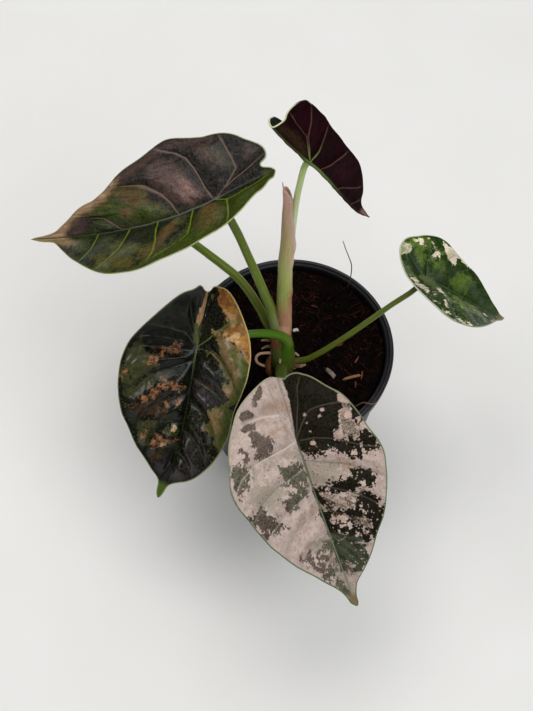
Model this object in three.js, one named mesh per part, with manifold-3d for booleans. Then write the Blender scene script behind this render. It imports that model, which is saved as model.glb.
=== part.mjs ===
// A jewel alocasia in a round nursery pot. Millimetres, +Z up.
// The origin is the middle of the pot's underside, and -Y is the side that the
// largest blade hangs over.
import * as THREE from 'three';
import { mergeVertices } from 'three/addons/utils/BufferGeometryUtils.js';
import Module from 'manifold-3d';

// ---- driving dimensions ----
const POT_HEIGHT = 88;
const POT_RIM_RADIUS = 50;        // outside of the rolled rim
const POT_TOP_RADIUS = 47.4;      // outside of the wall under the rim
const POT_BASE_RADIUS = 40;
const POT_WALL = 1.4;
const POT_FLOOR = 2.0;
const RIM_DEPTH = 7.5;            // height of the rim band
const HOLE_RADIUS = 4;            // drainage holes in the floor
const HOLE_COUNT = 6;
const HOLE_CIRCLE = 28;
const SOIL_TOP = 84;              // soil level at the wall
const GAP = 0.3;                  // between touching pieces
const BLADE_THICKNESS = 1.0;
const CREASE = 2.0;               // how gently a blade folds at its midrib

// Petiole centre lines: x, y, z and radius, from the stem to the blade.
const PETIOLES = {
  a: [
    [-5.82, -3.72, 103, 2.47], [-7.53, -2.79, 113, 2.55], [-9.66, -0.59, 125, 2.38], [-12.81, 0.75, 137, 2.18],
    [-16.07, 3.38, 148, 2.01], [-19.64, 6.18, 159, 1.89], [-23.3, 9.14, 170, 1.86], [-26.45, 10.95, 178.5, 1.83],
    [-29.59, 12.94, 185, 1.77], [-32.33, 14.09, 189, 1.72],
  ],
  f: [
    [-8.62, -1.04, 100, 2.13], [-11.23, 1.59, 107, 2.16], [-15.19, 6.76, 114, 2.14], [-20.28, 12.7, 119.5, 2.09],
    [-25.8, 17.54, 124, 2.03], [-31.29, 20.79, 127.5, 1.98], [-37.69, 24.59, 130.5, 1.93], [-44.11, 28.7, 133, 1.88],
    [-51.53, 33.19, 134.5, 1.84], [-58.6, 37.04, 134.5, 1.8],
  ],
  b: [
    [-3.83, -9.19, 92, 3.82], [-2.52, -8.53, 100, 3.06], [-1.93, -8.51, 107, 2.68], [-3.38, -8.02, 111, 2.31],
    [-6.41, -7.79, 113.5, 2.07], [-11.01, -8.36, 116, 1.97], [-16.48, -9.71, 118.5, 1.87], [-22.8, -11.57, 120.5, 1.81],
    [-30.39, -14.44, 122.5, 1.8], [-37.88, -18.04, 124, 1.75], [-42.29, -19.71, 124.3, 1.7],
  ],
  c: [
    [-4.51, -9.27, 89, 3.12], [-4.61, -16.06, 94, 3.07], [-4.71, -23.51, 98.5, 2.8], [-4.38, -32.81, 104, 2.4],
    [-3.4, -42.87, 109.5, 2.2], [-1.76, -51.71, 114, 2.08], [0.29, -58.49, 117.5, 2.01], [1.49, -62.64, 119.5, 1.95],
  ],
  d: [
    [0.1, -7.98, 87, 1.69], [3.89, -8.46, 89, 1.54], [7.64, -8.93, 91.5, 1.48], [14.56, -8.02, 97.5, 1.42],
    [24.05, -5.6, 106, 1.36], [35, -2.35, 116.5, 1.31], [45.14, 0.62, 127, 1.27], [53.38, 2.71, 135, 1.25],
    [58.82, 5.72, 139.5, 1.25],
  ],
  e: [
    [-3.18, -0.79, 117, 1.73], [-2.65, 2.1, 128.5, 1.65], [-2.18, 4.77, 141.5, 1.59], [-1.73, 7, 154.5, 1.54],
    [-1.12, 8.45, 168, 1.48], [-0.4, 9.51, 183.5, 1.42], [0.51, 9.88, 197, 1.36], [1.62, 10.01, 207.5, 1.31],
    [2.73, 9.89, 216, 1.29], [4.08, 9.35, 221.4, 1.37],
  ],
};

// Blades. bez is the midrib from the petiole's attachment to the drip tip, roll turns the
// blade about it, foldL and foldR lift its two halves, back lifts the basal lobes, cup curves
// the halves down towards the margin, and outline is the flattened margin: distance along
// the midrib, distance from it.
const BLADES = {
  a: {
    bez: [[-32.69, 13.88, 190], [-62.06, 4.7, 178.04], [-91.35, 14.57, 161.52], [-117.18, 23.16, 146]],
    roll: 0, foldL: 37, foldR: 21, back: 0, cup: -0.009,
    outline: [
      [97.15, 0], [93.81, 0.82], [89.47, 1.33], [85.17, 2.04], [81.48, 3.21], [78.37, 5.27], [75.28, 7.3],
      [71.62, 10.17], [68.03, 12.56], [63.94, 13.98], [59.89, 14.91], [56.42, 16.54], [52.97, 18.59], [49.5, 21.54],
      [46.03, 24.47], [41.94, 26.83], [37.21, 28.55], [31.76, 30.3], [25.43, 32.75], [20.12, 34.4], [15.38, 35.1],
      [10.14, 34.49], [4.59, 32.78], [-0.89, 30.67], [-4.9, 28.55], [-8.33, 27.6], [-11.67, 26.44], [-15.17, 24.49],
      [-18.35, 21.78], [-20.83, 18.58], [-23.75, 15.47], [-25.89, 12.83], [-26.92, 10.34], [-26.85, 7.99], [-25.85, 6.16],
      [-24.43, 5.49], [-23.09, 5.01], [-23.05, 3.85], [-24.46, 2.88], [-26.27, 1.77], [-27.43, -0.03], [-27.22, -2.79],
      [-25.86, -5.92], [-24.27, -6.16], [-22.48, -9.31], [-20.49, -12.11], [-18.16, -13.48], [-15.73, -16.12], [-13.78, -18.26],
      [-11.79, -20.73], [-9.4, -22.73], [-6.52, -25.07], [-3.24, -26.97], [0.65, -28.12], [3.74, -28.64], [7.18, -29.73],
      [10.59, -30.99], [14.01, -31.36], [17.46, -31.9], [20.97, -32.26], [23.75, -33.23], [26.58, -33.94], [30.29, -34.03],
      [34.33, -32.93], [38.57, -31.85], [43.18, -30.18], [47.42, -27.73], [52.31, -24.32], [57.89, -20.26], [64.16, -15.88],
      [69.99, -11.3], [76.54, -6.33], [80.83, -3.42], [84.34, -2.66], [88.97, -2.12], [93.25, -1.17],
    ],
  },
  b: {
    bez: [[-42.69, -20.08, 125], [-47.28, -42.29, 112.19], [-50.78, -60.01, 92.12], [-62.61, -71.89, 72]],
    roll: 0, foldL: 31, foldR: 19, back: 0, cup: -0.009,
    outline: [
      [77.83, 0], [76.47, 1.17], [73.69, 2.35], [70.72, 3], [67.85, 3.8], [65.64, 5.54], [62.74, 8.93],
      [59, 12.45], [55.57, 15.8], [52.16, 19.07], [46.88, 22.67], [42.08, 25.58], [37.49, 28.87], [32.68, 30.93],
      [27.87, 32.46], [23.09, 33.48], [16.93, 33.98], [11.36, 33.93], [6.71, 33.04], [2.52, 31.63], [-1.38, 29.25],
      [-5.51, 26.2], [-9.7, 22.71], [-13.89, 19.25], [-17.86, 15.77], [-20.81, 13.05], [-23.39, 9.81], [-24.81, 6.83],
      [-26, 5.19], [-27.37, 3.82], [-27.17, 2.4], [-25.62, 0.95], [-25.19, -0.64], [-26.08, -2.12], [-27.55, -2.94],
      [-28.21, -4.51], [-28.15, -7.38], [-27.66, -10.32], [-25.88, -13.53], [-22.82, -16.99], [-19.69, -19.88], [-15.72, -22.93],
      [-11.73, -25.7], [-7.66, -27.94], [-3.48, -29.38], [0.73, -30.3], [4.76, -30.44], [8.82, -30.31], [13.02, -29.39],
      [17.31, -28.23], [20.87, -26.89], [24.74, -26.19], [29.38, -26], [33.66, -25.77], [38.4, -24.31], [42.66, -22.77],
      [47.06, -20.74], [51.89, -17.72], [56.39, -14.59], [60.13, -11.14], [63.98, -6.38], [67.07, -3.2], [69.59, -1.79],
      [72.89, -1.53], [76.57, -0.9],
    ],
  },
  c: {
    bez: [[1.48, -62.85, 120], [10, -86.38, 107.58], [19.85, -105.07, 88.45], [28.54, -121.66, 68]],
    roll: 0, foldL: 19, foldR: 22, back: 0, cup: -0.008,
    outline: [
      [83.55, 0], [81.01, 1.92], [77.28, 2.86], [72.74, 4.65], [68.64, 7.16], [64.07, 10.56], [58.79, 14.11],
      [54.15, 17.79], [49.95, 20.98], [45.31, 23.9], [40.65, 26.71], [36.54, 29.16], [32.18, 30.92], [27.93, 32.69],
      [23.96, 34.04], [19.93, 35.84], [16.14, 37.22], [11.85, 37.89], [7.97, 37.5], [3.68, 35.99], [-1.16, 34.59],
      [-5.94, 32.9], [-9.79, 31.05], [-14.57, 27.88], [-18.96, 24.84], [-22.29, 21.16], [-24.96, 16.68], [-27.04, 12.36],
      [-28.72, 8.15], [-29.52, 4.73], [-29.33, 2.2], [-28.36, -0.01], [-27.7, -2.16], [-27.03, -2.87], [-27.8, -4.05],
      [-28.31, -6.07], [-28.14, -8.8], [-26.61, -11.55], [-25.43, -13.49], [-23.2, -16.03], [-20.1, -18.75], [-17.2, -21.56],
      [-14.17, -24.81], [-10.24, -27.29], [-6.57, -28.93], [-1.94, -30.72], [3.65, -32.24], [8.29, -34.09], [12.82, -35.5],
      [17.71, -35.8], [23.08, -34.68], [28.82, -33.19], [34.77, -30.88], [40.27, -28.49], [44.79, -25.96], [47.86, -23.45],
      [51.73, -20.21], [56.31, -17.24], [60.92, -14.06], [65.03, -10.59], [68.71, -7.05], [71.69, -4.45], [75.57, -2.77],
      [79.2, -1.88], [82, -1.75], [83.86, -0.67],
    ],
  },
  d: {
    bez: [[59.23, 6.2, 140], [74.79, 5.23, 132.02], [87.02, 1.02, 119.2], [100.1, 4.25, 108]],
    roll: 0, foldL: 22, foldR: 33, back: 0, cup: -0.012,
    outline: [
      [52.27, -0], [48.91, -1.17], [46.28, -3.32], [41.75, -5.55], [36.94, -8.52], [33.18, -10.72], [29.52, -12.89],
      [25.35, -14.76], [20.9, -15.87], [16.64, -17.54], [12.73, -19.09], [9.05, -21.31], [5.81, -22.42], [2.87, -22.62],
      [-0.36, -21.99], [-4.05, -20.92], [-7.64, -19.11], [-10.7, -17.77], [-13.63, -15.71], [-15.34, -12.84], [-15.96, -10.14],
      [-15.47, -7.37], [-14.45, -4.79], [-12.95, -2.38], [-11.16, 0.79], [-10.44, 6.08], [-9.16, 10.73], [-7, 14.33],
      [-4.22, 17.88], [-0.83, 21.38], [2.29, 24.54], [5.76, 26.63], [9.51, 27.36], [14.1, 26.72], [19.01, 24.96],
      [24.71, 21.1], [30.91, 15.78], [37.94, 9.49], [44.98, 4.03], [48.98, 2.53],
    ],
  },
  e: {
    bez: [[4.06, 9.13, 222], [15.09, 13.84, 203.89], [22.04, 14.45, 182.46], [32.71, 22.22, 165]],
    roll: 62, foldL: 62, foldR: 62, back: 0.008, cup: 0,
    outline: [
      [65.78, 0], [59.18, 2.14], [53.08, 3.44], [49.64, 5.24], [47.91, 8.47], [44.9, 10.66], [40.64, 13.18],
      [36.09, 14.95], [32.14, 15.92], [26.97, 16.16], [21.45, 16.08], [16.28, 16.09], [11.99, 16.51], [7.38, 16.76],
      [3.02, 17.16], [0.19, 17.91], [-3.31, 18.66], [-7.89, 18.67], [-11.69, 18.86], [-15.78, 18.55], [-18.81, 18.14],
      [-20.19, 17.47], [-22.2, 15.88], [-23.93, 13.75], [-24.83, 11.66], [-25.24, 9.86], [-25.18, 8.36], [-24.47, 6.6],
      [-25.19, 4.75], [-25.98, 2.97], [-26.71, 1.48], [-27.2, -0.6], [-26.2, -5], [-22.5, -10.5], [-18, -14.5],
      [-13.5, -18], [-7, -20.3], [1, -20.6], [10, -20.2], [20, -18.8], [30, -16.6], [40, -13.4],
      [49, -9.2], [56, -4.6], [60.5, -1.6],
    ],
  },
  f: {
    bez: [[-59.03, 37.26, 135], [-72.17, 39.32, 130.41], [-86.11, 41.5, 121.86], [-98.86, 43.5, 112]],
    roll: 0, foldL: 22, foldR: 22, back: 0, cup: -0.012,
    outline: [
      [46.61, 0], [42, -2.5], [37, -6], [30, -10.3], [22, -14], [14, -16.6], [6, -17.9],
      [-2, -17.4], [-9, -15.2], [-13.5, -11.5], [-15, -7], [-13.5, -3], [-11, 0], [-13.5, 3],
      [-15, 7], [-13.5, 11.5], [-9, 15.5], [-2, 17.8], [6, 18.3], [14, 17], [22, 14.4],
      [30, 10.6], [37, 6.2], [42, 2.6],
    ],
  },
};

// Stem above and below the soil: x, y, z, radius.
const STEM = [
  [-4.2, -9.4, 58, 3.2], [-4.2, -9.4, 66, 4.6], [-4.2, -9.3, 74, 5.2], [-4.2, -9.2, 81, 5.7], [-4.0, -8.6, 88, 5.8],
  [-4.1, -7.4, 95, 5.6], [-4.4, -5.6, 102, 5.1], [-4.5, -3.8, 108, 4.6], [-4.3, -2.6, 113, 4.0],
];
// Leaf sheath that clasps the petiole of blade e and ends in a free point.
const SHEATH = [
  [-3.6, -2.2, 109, 3.7], [-3.7, -0.6, 119, 3.6], [-3.7, 0.3, 128.5, 3.45], [-3.7, 1.3, 138, 3.4], [-3.6, 2.4, 148, 3.2],
  [-3.6, 3.6, 158, 3.15], [-2.9, 4.9, 168, 3.2], [-2.8, 6.3, 178, 2.95], [-3.2, 7.6, 187, 2.3], [-3.1, 8.8, 195, 2.1],
  [-3.7, 9.6, 200.5, 1.5], [-5.0, 10.4, 204, 0.7], [-5.4, 10.8, 205.6, 0.3],
];
// Thin roots and dried sheath remains at the foot: x, y, z, radius.
const ROOT_LOOP = [
  [-8.6, -8.0, 96.0, 0.75], [-10.4, -8.2, 96.3, 0.75], [-12.9, -8.3, 96.4, 0.75], [-15.3, -8.7, 96.0, 0.75], [-16.7, -9.9, 94.5, 0.75],
  [-16.2, -11.1, 92.5, 0.75], [-14.3, -11.5, 90.5, 0.75], [-11.9, -11.4, 88.5, 0.75], [-10.4, -11.2, 86.0, 0.7], [-9.8, -11.0, 80, 0.6],
];
const NUBS = {
  root_nub_a: [[-9.6, -4.2, 101.2, 1.0], [-11.6, -3.8, 101.0, 1.0], [-14.0, -3.3, 99.8, 0.6]],
  root_nub_b: [[-9.4, -5.6, 98.2, 1.0], [-11.4, -5.4, 97.8, 1.0], [-13.8, -5.8, 96.2, 0.6]],
  root_nub_c: [[-5.1, -10.2, 96.4, 1.1], [-5.3, -12.6, 97.4, 1.1], [-5.4, -13.8, 97.2, 0.7]],
  root_nub_d: [[0.0, -6.3, 93.8, 0.9], [1.9, -6.4, 92.8, 0.9], [3.6, -6.8, 91.0, 0.6]],
  root_nub_e: [[-0.6, -10.6, 90.6, 0.9], [0.5, -11.1, 88.8, 0.9], [1.9, -11.4, 86.2, 0.6]],
};
const DRY_SHEATH_LEFT = [
  [-9.8, -9.4, 95.4, 0.9], [-10.7, -11.0, 92.4, 1.4], [-10.7, -12.8, 89.4, 1.6], [-10.0, -14.8, 87.4, 1.4], [-9.2, -16.0, 86.6, 0.8],
];
const DRY_SHEATH_RIGHT = [
  [0.4, -10.6, 88.6, 0.9], [2.4, -10.8, 87.9, 1.1], [4.8, -10.6, 87.6, 1.0], [7.0, -10.0, 87.6, 0.5],
];
// Coir fibres: one stands up beside the rim, one lies over it.
const FIBRES = {
  coir_fibre_a: [[29.0, 34.9, 84.2, 0.4], [29.6, 35.3, 88.8, 0.38], [30.3, 38.0, 93, 0.36], [30.2, 40.3, 97.4, 0.35], [28.7, 41.4, 102.4, 0.33], [26.9, 42.4, 107.8, 0.3], [25.1, 43.3, 114, 0.26]],
  coir_fibre_b: [[30.4, -31.4, 86.2, 0.4], [31.9, -31.0, 87.6, 0.4], [33.9, -30.7, 89.0, 0.4], [36.4, -31.5, 89.6, 0.38], [38.3, -31.7, 89.5, 0.36], [40.3, -30.5, 89.1, 0.3]],
};
// Loose pieces that lie on the soil: middle, half sizes, turn in degrees.
const LOOSE = {
  bark_chip_pale: [[19.2, -14.1, 86.6], [3.2, 1.1, 0.9], -52],
  bark_chip_tan: [[29.3, -15.9, 86.2], [4.3, 0.9, 0.8], 14],
  perlite_grain: [[2.6, 9.2, 87.1], [1.6, 1.0, 0.9], 0],
};
const SOIL_BUMPS = [[9, 11, 0.9, 0.3], [-7, 13, 0.7, 1.9], [15, -8, 0.5, 4.0], [19, 17, 0.35, 2.2]];

// ---- solids ----
const wasm = await Module();
wasm.setup();

function toSolid(geometry) {
  const g = new THREE.BufferGeometry();
  g.setAttribute('position', geometry.getAttribute('position').clone());
  if (geometry.index) g.setIndex(Array.from(geometry.index.array));
  const m = mergeVertices(g, 1e-4);
  const pos = m.getAttribute('position').array;
  const idx = m.index.array;
  const tri = [];
  let volume = 0;
  const v = (i) => new THREE.Vector3(pos[3 * i], pos[3 * i + 1], pos[3 * i + 2]);
  for (let i = 0; i < idx.length; i += 3) {
    const [a, b, c] = [idx[i], idx[i + 1], idx[i + 2]];
    if (a === b || b === c || a === c) continue;
    tri.push(a, b, c);
    volume += v(a).dot(v(b).cross(v(c))) / 6;
  }
  if (volume < 0) for (let i = 0; i < tri.length; i += 3) [tri[i], tri[i + 1]] = [tri[i + 1], tri[i]];
  return new wasm.Manifold(new wasm.Mesh({
    numProp: 3, vertProperties: new Float32Array(pos), triVerts: new Uint32Array(tri),
  }));
}

function toGeometry(solid) {
  const m = solid.getMesh();
  const g = new THREE.BufferGeometry();
  g.setAttribute('position', new THREE.BufferAttribute(new Float32Array(m.vertProperties), 3));
  g.setIndex(Array.from(m.triVerts));
  g.computeVertexNormals();
  return g;
}

// The largest body of a cut solid.
function largest(solid) {
  const parts = solid.decompose();
  let best = parts[0];
  for (const p of parts) if (p.volume() > best.volume()) best = p;
  return best;
}

function cut(solid, ...tools) {
  let s = solid;
  for (const t of tools) s = s.subtract(t);
  return largest(s);
}

// A closed tube of changing radius along a smooth curve through the rows.
function tube(rows, sides, steps, extra = 0, flat = 1) {
  const curve = new THREE.CatmullRomCurve3(rows.map((r) => new THREE.Vector3(r[0], r[1], r[2])), false, 'centripetal');
  const n = rows.length - 1;
  const pos = [];
  const idx = [];
  let normal = null;
  for (let i = 0; i <= steps; i++) {
    const u = i / steps;
    const p = curve.getPoint(u);
    const t = curve.getTangent(u);
    if (!normal) {
      normal = new THREE.Vector3(1, 0, 0);
      if (Math.abs(t.x) > 0.8) normal.set(0, 1, 0);
    }
    normal.sub(t.clone().multiplyScalar(normal.dot(t))).normalize();
    const side = t.clone().cross(normal);
    const k = Math.min(Math.floor(u * n), n - 1);
    const f = u * n - k;
    const r = rows[k][3] * (1 - f) + rows[k + 1][3] * f + extra;
    if (i === 0) p.addScaledVector(t, -extra);
    if (i === steps) p.addScaledVector(t, extra);
    for (let j = 0; j < sides; j++) {
      const a = (2 * Math.PI * j) / sides;
      const q = p.clone().addScaledVector(normal, r * Math.cos(a)).addScaledVector(side, r * flat * Math.sin(a));
      pos.push(q.x, q.y, q.z);
    }
  }
  for (let i = 0; i < steps; i++) {
    for (let j = 0; j < sides; j++) {
      const a = i * sides + j;
      const b = i * sides + ((j + 1) % sides);
      idx.push(a, b, a + sides, b, b + sides, a + sides);
    }
  }
  for (let j = 1; j < sides - 1; j++) {
    idx.push(0, j + 1, j);
    const e = steps * sides;
    idx.push(e, e + j, e + j + 1);
  }
  const g = new THREE.BufferGeometry();
  g.setAttribute('position', new THREE.Float32BufferAttribute(pos, 3));
  g.setIndex(idx);
  return toSolid(g);
}

// ---- blade surface ----
function bladeSurface(spec) {
  const b = spec.bez.map((p) => new THREE.Vector3(...p));
  const curve = new THREE.CubicBezierCurve3(b[0], b[1], b[2], b[3]);
  const N = 200;
  const len = [0];
  let last = curve.getPoint(0);
  for (let i = 1; i <= N; i++) {
    const p = curve.getPoint(i / N);
    len.push(len[i - 1] + p.distanceTo(last));
    last = p;
  }
  const L = len[N];
  const paramAt = (s) => {
    const x = Math.min(Math.max(s, 0), L);
    let k = 0;
    while (k < N - 1 && len[k + 1] < x) k++;
    return (k + (x - len[k]) / (len[k + 1] - len[k])) / N;
  };
  const d = (t) => new THREE.Vector3()
    .addScaledVector(b[1].clone().sub(b[0]), 3 * (1 - t) ** 2)
    .addScaledVector(b[2].clone().sub(b[1]), 6 * t * (1 - t))
    .addScaledVector(b[3].clone().sub(b[2]), 3 * t * t).normalize();
  const T0 = d(0);
  const up = new THREE.Vector3(0, 0, 1);
  const u0 = up.clone().addScaledVector(T0, -up.dot(T0)).normalize();
  const h0 = T0.clone().cross(u0);
  const roll = THREE.MathUtils.degToRad(spec.roll);
  const W0 = h0.clone().multiplyScalar(Math.cos(roll)).addScaledVector(u0, Math.sin(roll));
  const N0 = W0.clone().cross(T0);
  const fL = THREE.MathUtils.degToRad(spec.foldL);
  const fR = THREE.MathUtils.degToRad(spec.foldR);
  return (s, t) => {
    const q = paramAt(s);
    const P = curve.getPoint(q);
    let T = d(q);
    if (s > L) P.addScaledVector(T, s - L);
    if (s < 0) {
      P.addScaledVector(T0, s).addScaledVector(N0, 0.5 * spec.back * s * s);
      T = T0.clone().addScaledVector(N0, spec.back * s).normalize();
    }
    const W = W0.clone().addScaledVector(T, -W0.dot(T)).normalize();
    const Nn = W.clone().cross(T);
    const f = t < 0 ? fL : fR;
    const h = Math.sin(f) * (Math.sqrt(t * t + CREASE * CREASE) - CREASE) + 0.5 * spec.cup * t * t;
    return P.addScaledVector(W, t * Math.cos(f)).addScaledVector(Nn, h);
  };
}

function bladeSolid(spec, thickness, grow = 0) {
  const S = bladeSurface(spec);
  const rings = [0.28, 0.55, 0.8, 1];
  const normalAt = (s, t) => {
    const e = 0.2;
    const a = S(s + e, t).sub(S(s - e, t));
    const c = S(s, t + e).sub(S(s, t - e));
    return c.cross(a).normalize();
  };
  // margin rays, with one more wherever the margin crosses the midrib line behind the petiole
  const margin = [];
  const o = spec.outline;
  for (let i = 0; i < o.length; i++) {
    const [a, c] = [o[i], o[(i + 1) % o.length]];
    margin.push([a[0], a[1]]);
    if (a[1] * c[1] < 0 && Math.abs(a[1]) > 0.6 && Math.abs(c[1]) > 0.6) {
      const f = a[1] / (a[1] - c[1]);
      margin.push([a[0] + (c[0] - a[0]) * f, 0]);
    }
  }
  const n = margin.length;
  const grown = margin.map(([s, t]) => {
    const r = Math.hypot(s, t);
    return [s * (1 + grow / r), t * (1 + grow / r)];
  });
  const pos = [];
  const idx = [];
  for (const side of [1, -1]) {
    const c = S(0, 0).addScaledVector(normalAt(0, 0), (side * thickness) / 2);
    pos.push(c.x, c.y, c.z);
    for (const k of rings) {
      for (const [s, t] of grown) {
        const p = S(s * k, t * k).addScaledVector(normalAt(s * k, t * k), (side * thickness) / 2);
        pos.push(p.x, p.y, p.z);
      }
    }
  }
  const M = 1 + rings.length * n;
  const at = (side, ring, j) => side * M + 1 + ring * n + (j % n);
  for (let side = 0; side < 2; side++) {
    const add = (a, c, e) => (side === 0 ? idx.push(a, c, e) : idx.push(a, e, c));
    for (let j = 0; j < n; j++) {
      add(side * M, at(side, 0, j), at(side, 0, j + 1));
      for (let r = 0; r < rings.length - 1; r++) {
        add(at(side, r, j), at(side, r + 1, j), at(side, r + 1, j + 1));
        add(at(side, r, j), at(side, r + 1, j + 1), at(side, r, j + 1));
      }
    }
  }
  const r = rings.length - 1;
  for (let j = 0; j < n; j++) {
    idx.push(at(0, r, j), at(1, r, j), at(1, r, j + 1));
    idx.push(at(0, r, j), at(1, r, j + 1), at(0, r, j + 1));
  }
  const g = new THREE.BufferGeometry();
  g.setAttribute('position', new THREE.Float32BufferAttribute(pos, 3));
  g.setIndex(idx);
  return toSolid(g);
}

// ---- pot ----
function pot() {
  const wallOut = (z) => POT_BASE_RADIUS + ((POT_TOP_RADIUS - POT_BASE_RADIUS) * z) / (POT_HEIGHT - RIM_DEPTH);
  const bandFoot = POT_HEIGHT - RIM_DEPTH;
  const profile = [
    [0, 0], [POT_BASE_RADIUS - 1.2, 0], [POT_BASE_RADIUS, 1.2],
    [POT_TOP_RADIUS, bandFoot], [POT_RIM_RADIUS - 1.0, bandFoot + 0.4], [POT_RIM_RADIUS - 0.5, bandFoot + 1.2],
    [POT_RIM_RADIUS, POT_HEIGHT - 1.4], [POT_RIM_RADIUS - 0.5, POT_HEIGHT - 0.3], [POT_RIM_RADIUS - 1.2, POT_HEIGHT],
    [POT_RIM_RADIUS - 2.0, POT_HEIGHT - 0.3], [POT_RIM_RADIUS - 2.4, POT_HEIGHT - 0.9], [POT_RIM_RADIUS - 3.0, POT_HEIGHT - 0.7],
    [POT_RIM_RADIUS - 3.6, POT_HEIGHT - 1.1], [POT_TOP_RADIUS - POT_WALL, POT_HEIGHT - 2.6],
    [POT_TOP_RADIUS - POT_WALL, bandFoot], [wallOut(POT_FLOOR) - POT_WALL, POT_FLOOR + 0.8],
    [wallOut(POT_FLOOR) - POT_WALL - 1, POT_FLOOR], [0, POT_FLOOR],
  ].map(([r, z]) => new THREE.Vector2(r, z));
  let body = toSolid(new THREE.LatheGeometry(profile, 56).rotateX(Math.PI / 2));
  for (let i = 0; i < HOLE_COUNT; i++) {
    const a = (2 * Math.PI * (i + 0.5)) / HOLE_COUNT;
    const hole = new THREE.CylinderGeometry(HOLE_RADIUS, HOLE_RADIUS, 12, 12).rotateX(Math.PI / 2)
      .translate(HOLE_CIRCLE * Math.cos(a), HOLE_CIRCLE * Math.sin(a), POT_FLOOR / 2);
    body = body.subtract(toSolid(hole));
  }
  return body;
}

// ---- soil ----
function soil() {
  const wallIn = (z) => POT_BASE_RADIUS + ((POT_TOP_RADIUS - POT_BASE_RADIUS) * z) / (POT_HEIGHT - RIM_DEPTH) - POT_WALL - GAP;
  const z0 = POT_FLOOR + GAP;
  const top = [[12, 1.0], [20, 1.0], [28, 0.8], [35, 0.5], [41, 0.2]];
  const points = [
    new THREE.Vector2(0, z0), new THREE.Vector2(wallIn(z0) - 1.4, z0), new THREE.Vector2(wallIn(z0 + 2) - 0.2, z0 + 2),
    new THREE.Vector2(wallIn(SOIL_TOP - 1.5) - 0.1, SOIL_TOP - 1.5), new THREE.Vector2(wallIn(SOIL_TOP - 1.5) - 1.2, SOIL_TOP),
    ...top.slice().reverse().map(([r, h]) => new THREE.Vector2(r, SOIL_TOP + h)), new THREE.Vector2(5, SOIL_TOP + 1.2),
    new THREE.Vector2(0, SOIL_TOP + 1.2),
  ];
  const g = new THREE.LatheGeometry(points, 30).rotateX(Math.PI / 2);
  const p = g.getAttribute('position');
  for (let i = 0; i < p.count; i++) {
    const [x, y, z] = [p.getX(i), p.getY(i), p.getZ(i)];
    const r = Math.hypot(x, y);
    if (z > SOIL_TOP + 0.1 && r < 42) {
      let h = 0;
      for (const [kx, ky, a, ph] of SOIL_BUMPS) h += a * Math.sin(x / kx * 2 + ph) * Math.cos(y / ky * 2 + ph * 1.7);
      p.setZ(i, z + h * 0.55);
    }
  }
  return toSolid(g);
}

// An irregular chip or grain.
function lump(middle, half, turn, extra = 0) {
  const g = new THREE.IcosahedronGeometry(1, 1);
  const p = g.getAttribute('position');
  for (let i = 0; i < p.count; i++) {
    const [x, y, z] = [p.getX(i), p.getY(i), p.getZ(i)];
    const k = 1 + 0.12 * Math.sin(5 * x + 2 * y) + 0.1 * Math.cos(4 * z - 3 * x);
    const m = Math.pow(Math.max(Math.abs(x), Math.abs(y), Math.abs(z)), -0.6);
    p.setXYZ(i, x * k * m * (half[0] + extra), y * k * m * (half[1] + extra), z * k * m * (half[2] + extra));
  }
  g.rotateZ(THREE.MathUtils.degToRad(turn)).translate(...middle);
  return toSolid(g);
}

// ---- assembly ----
const material = (color, roughness) => new THREE.MeshStandardMaterial({ color, roughness, metalness: 0 });
const MATERIALS = {
  pot: material('#17191c', 0.45),
  soil: material('#33211b', 0.95),
  stem: material('#6f8246', 0.5),
  petiole: material('#6d9a3f', 0.45),
  petiolePale: material('#9fb488', 0.45),
  petioleWhite: material('#dfe6c8', 0.45),
  sheath: material('#cdab98', 0.5),
  root: material('#b39c84', 0.7),
  dry: material('#6f4a33', 0.9),
  fibre: material('#8a6a4c', 0.9),
  bark: material('#9c8672', 0.9),
  perlite: material('#d9d5cc', 0.9),
  bladeDark: material('#23301f', 0.3),
  bladePink: material('#b8a596', 0.35),
  bladeGreen: material('#3b5c2c', 0.35),
  bladeUnder: material('#4a2630', 0.4),
};

const root = new THREE.Group();
const solids = {};
function put(name, solid, mat) {
  solids[name] = solid;
  const mesh = new THREE.Mesh(toGeometry(solid), mat);
  mesh.name = name;
  root.add(mesh);
}

const fat = GAP;                                     // clearance added to a cutting copy
const stem = tube(STEM, 12, 16);
const stemFat = tube(STEM, 12, 16, fat);
const bladeFat = {};
for (const k of Object.keys(BLADES)) bladeFat[k] = bladeSolid(BLADES[k], BLADE_THICKNESS + 2 * GAP, 0.5);

const petioleTube = (k, extra = 0) => tube(PETIOLES[k], 10, k === 'b' ? 22 : 18, extra);
const sheathRaw = tube(SHEATH, 12, 24);
const sheathFat = tube(SHEATH, 12, 24, fat);

const soilLevel = soil();
put('pot', pot(), MATERIALS.pot);

const petioleE = cut(petioleTube('e'), stemFat, bladeFat.e);
const petioleA = cut(petioleTube('a'), stemFat, sheathFat, bladeFat.a);
const petioleF = cut(petioleTube('f'), stemFat, petioleTube('a', fat), sheathFat, bladeFat.f);
const petioleB = cut(petioleTube('b'), stemFat, petioleTube('a', fat), petioleTube('f', fat), sheathFat, bladeFat.b);
const petioleC = cut(petioleTube('c'), stemFat, petioleTube('b', fat), bladeFat.c);
const petioleD = cut(petioleTube('d'), stemFat, petioleTube('b', fat), petioleTube('c', fat), bladeFat.d);
const sheath = cut(sheathRaw, stemFat, petioleTube('e', fat));

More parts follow.
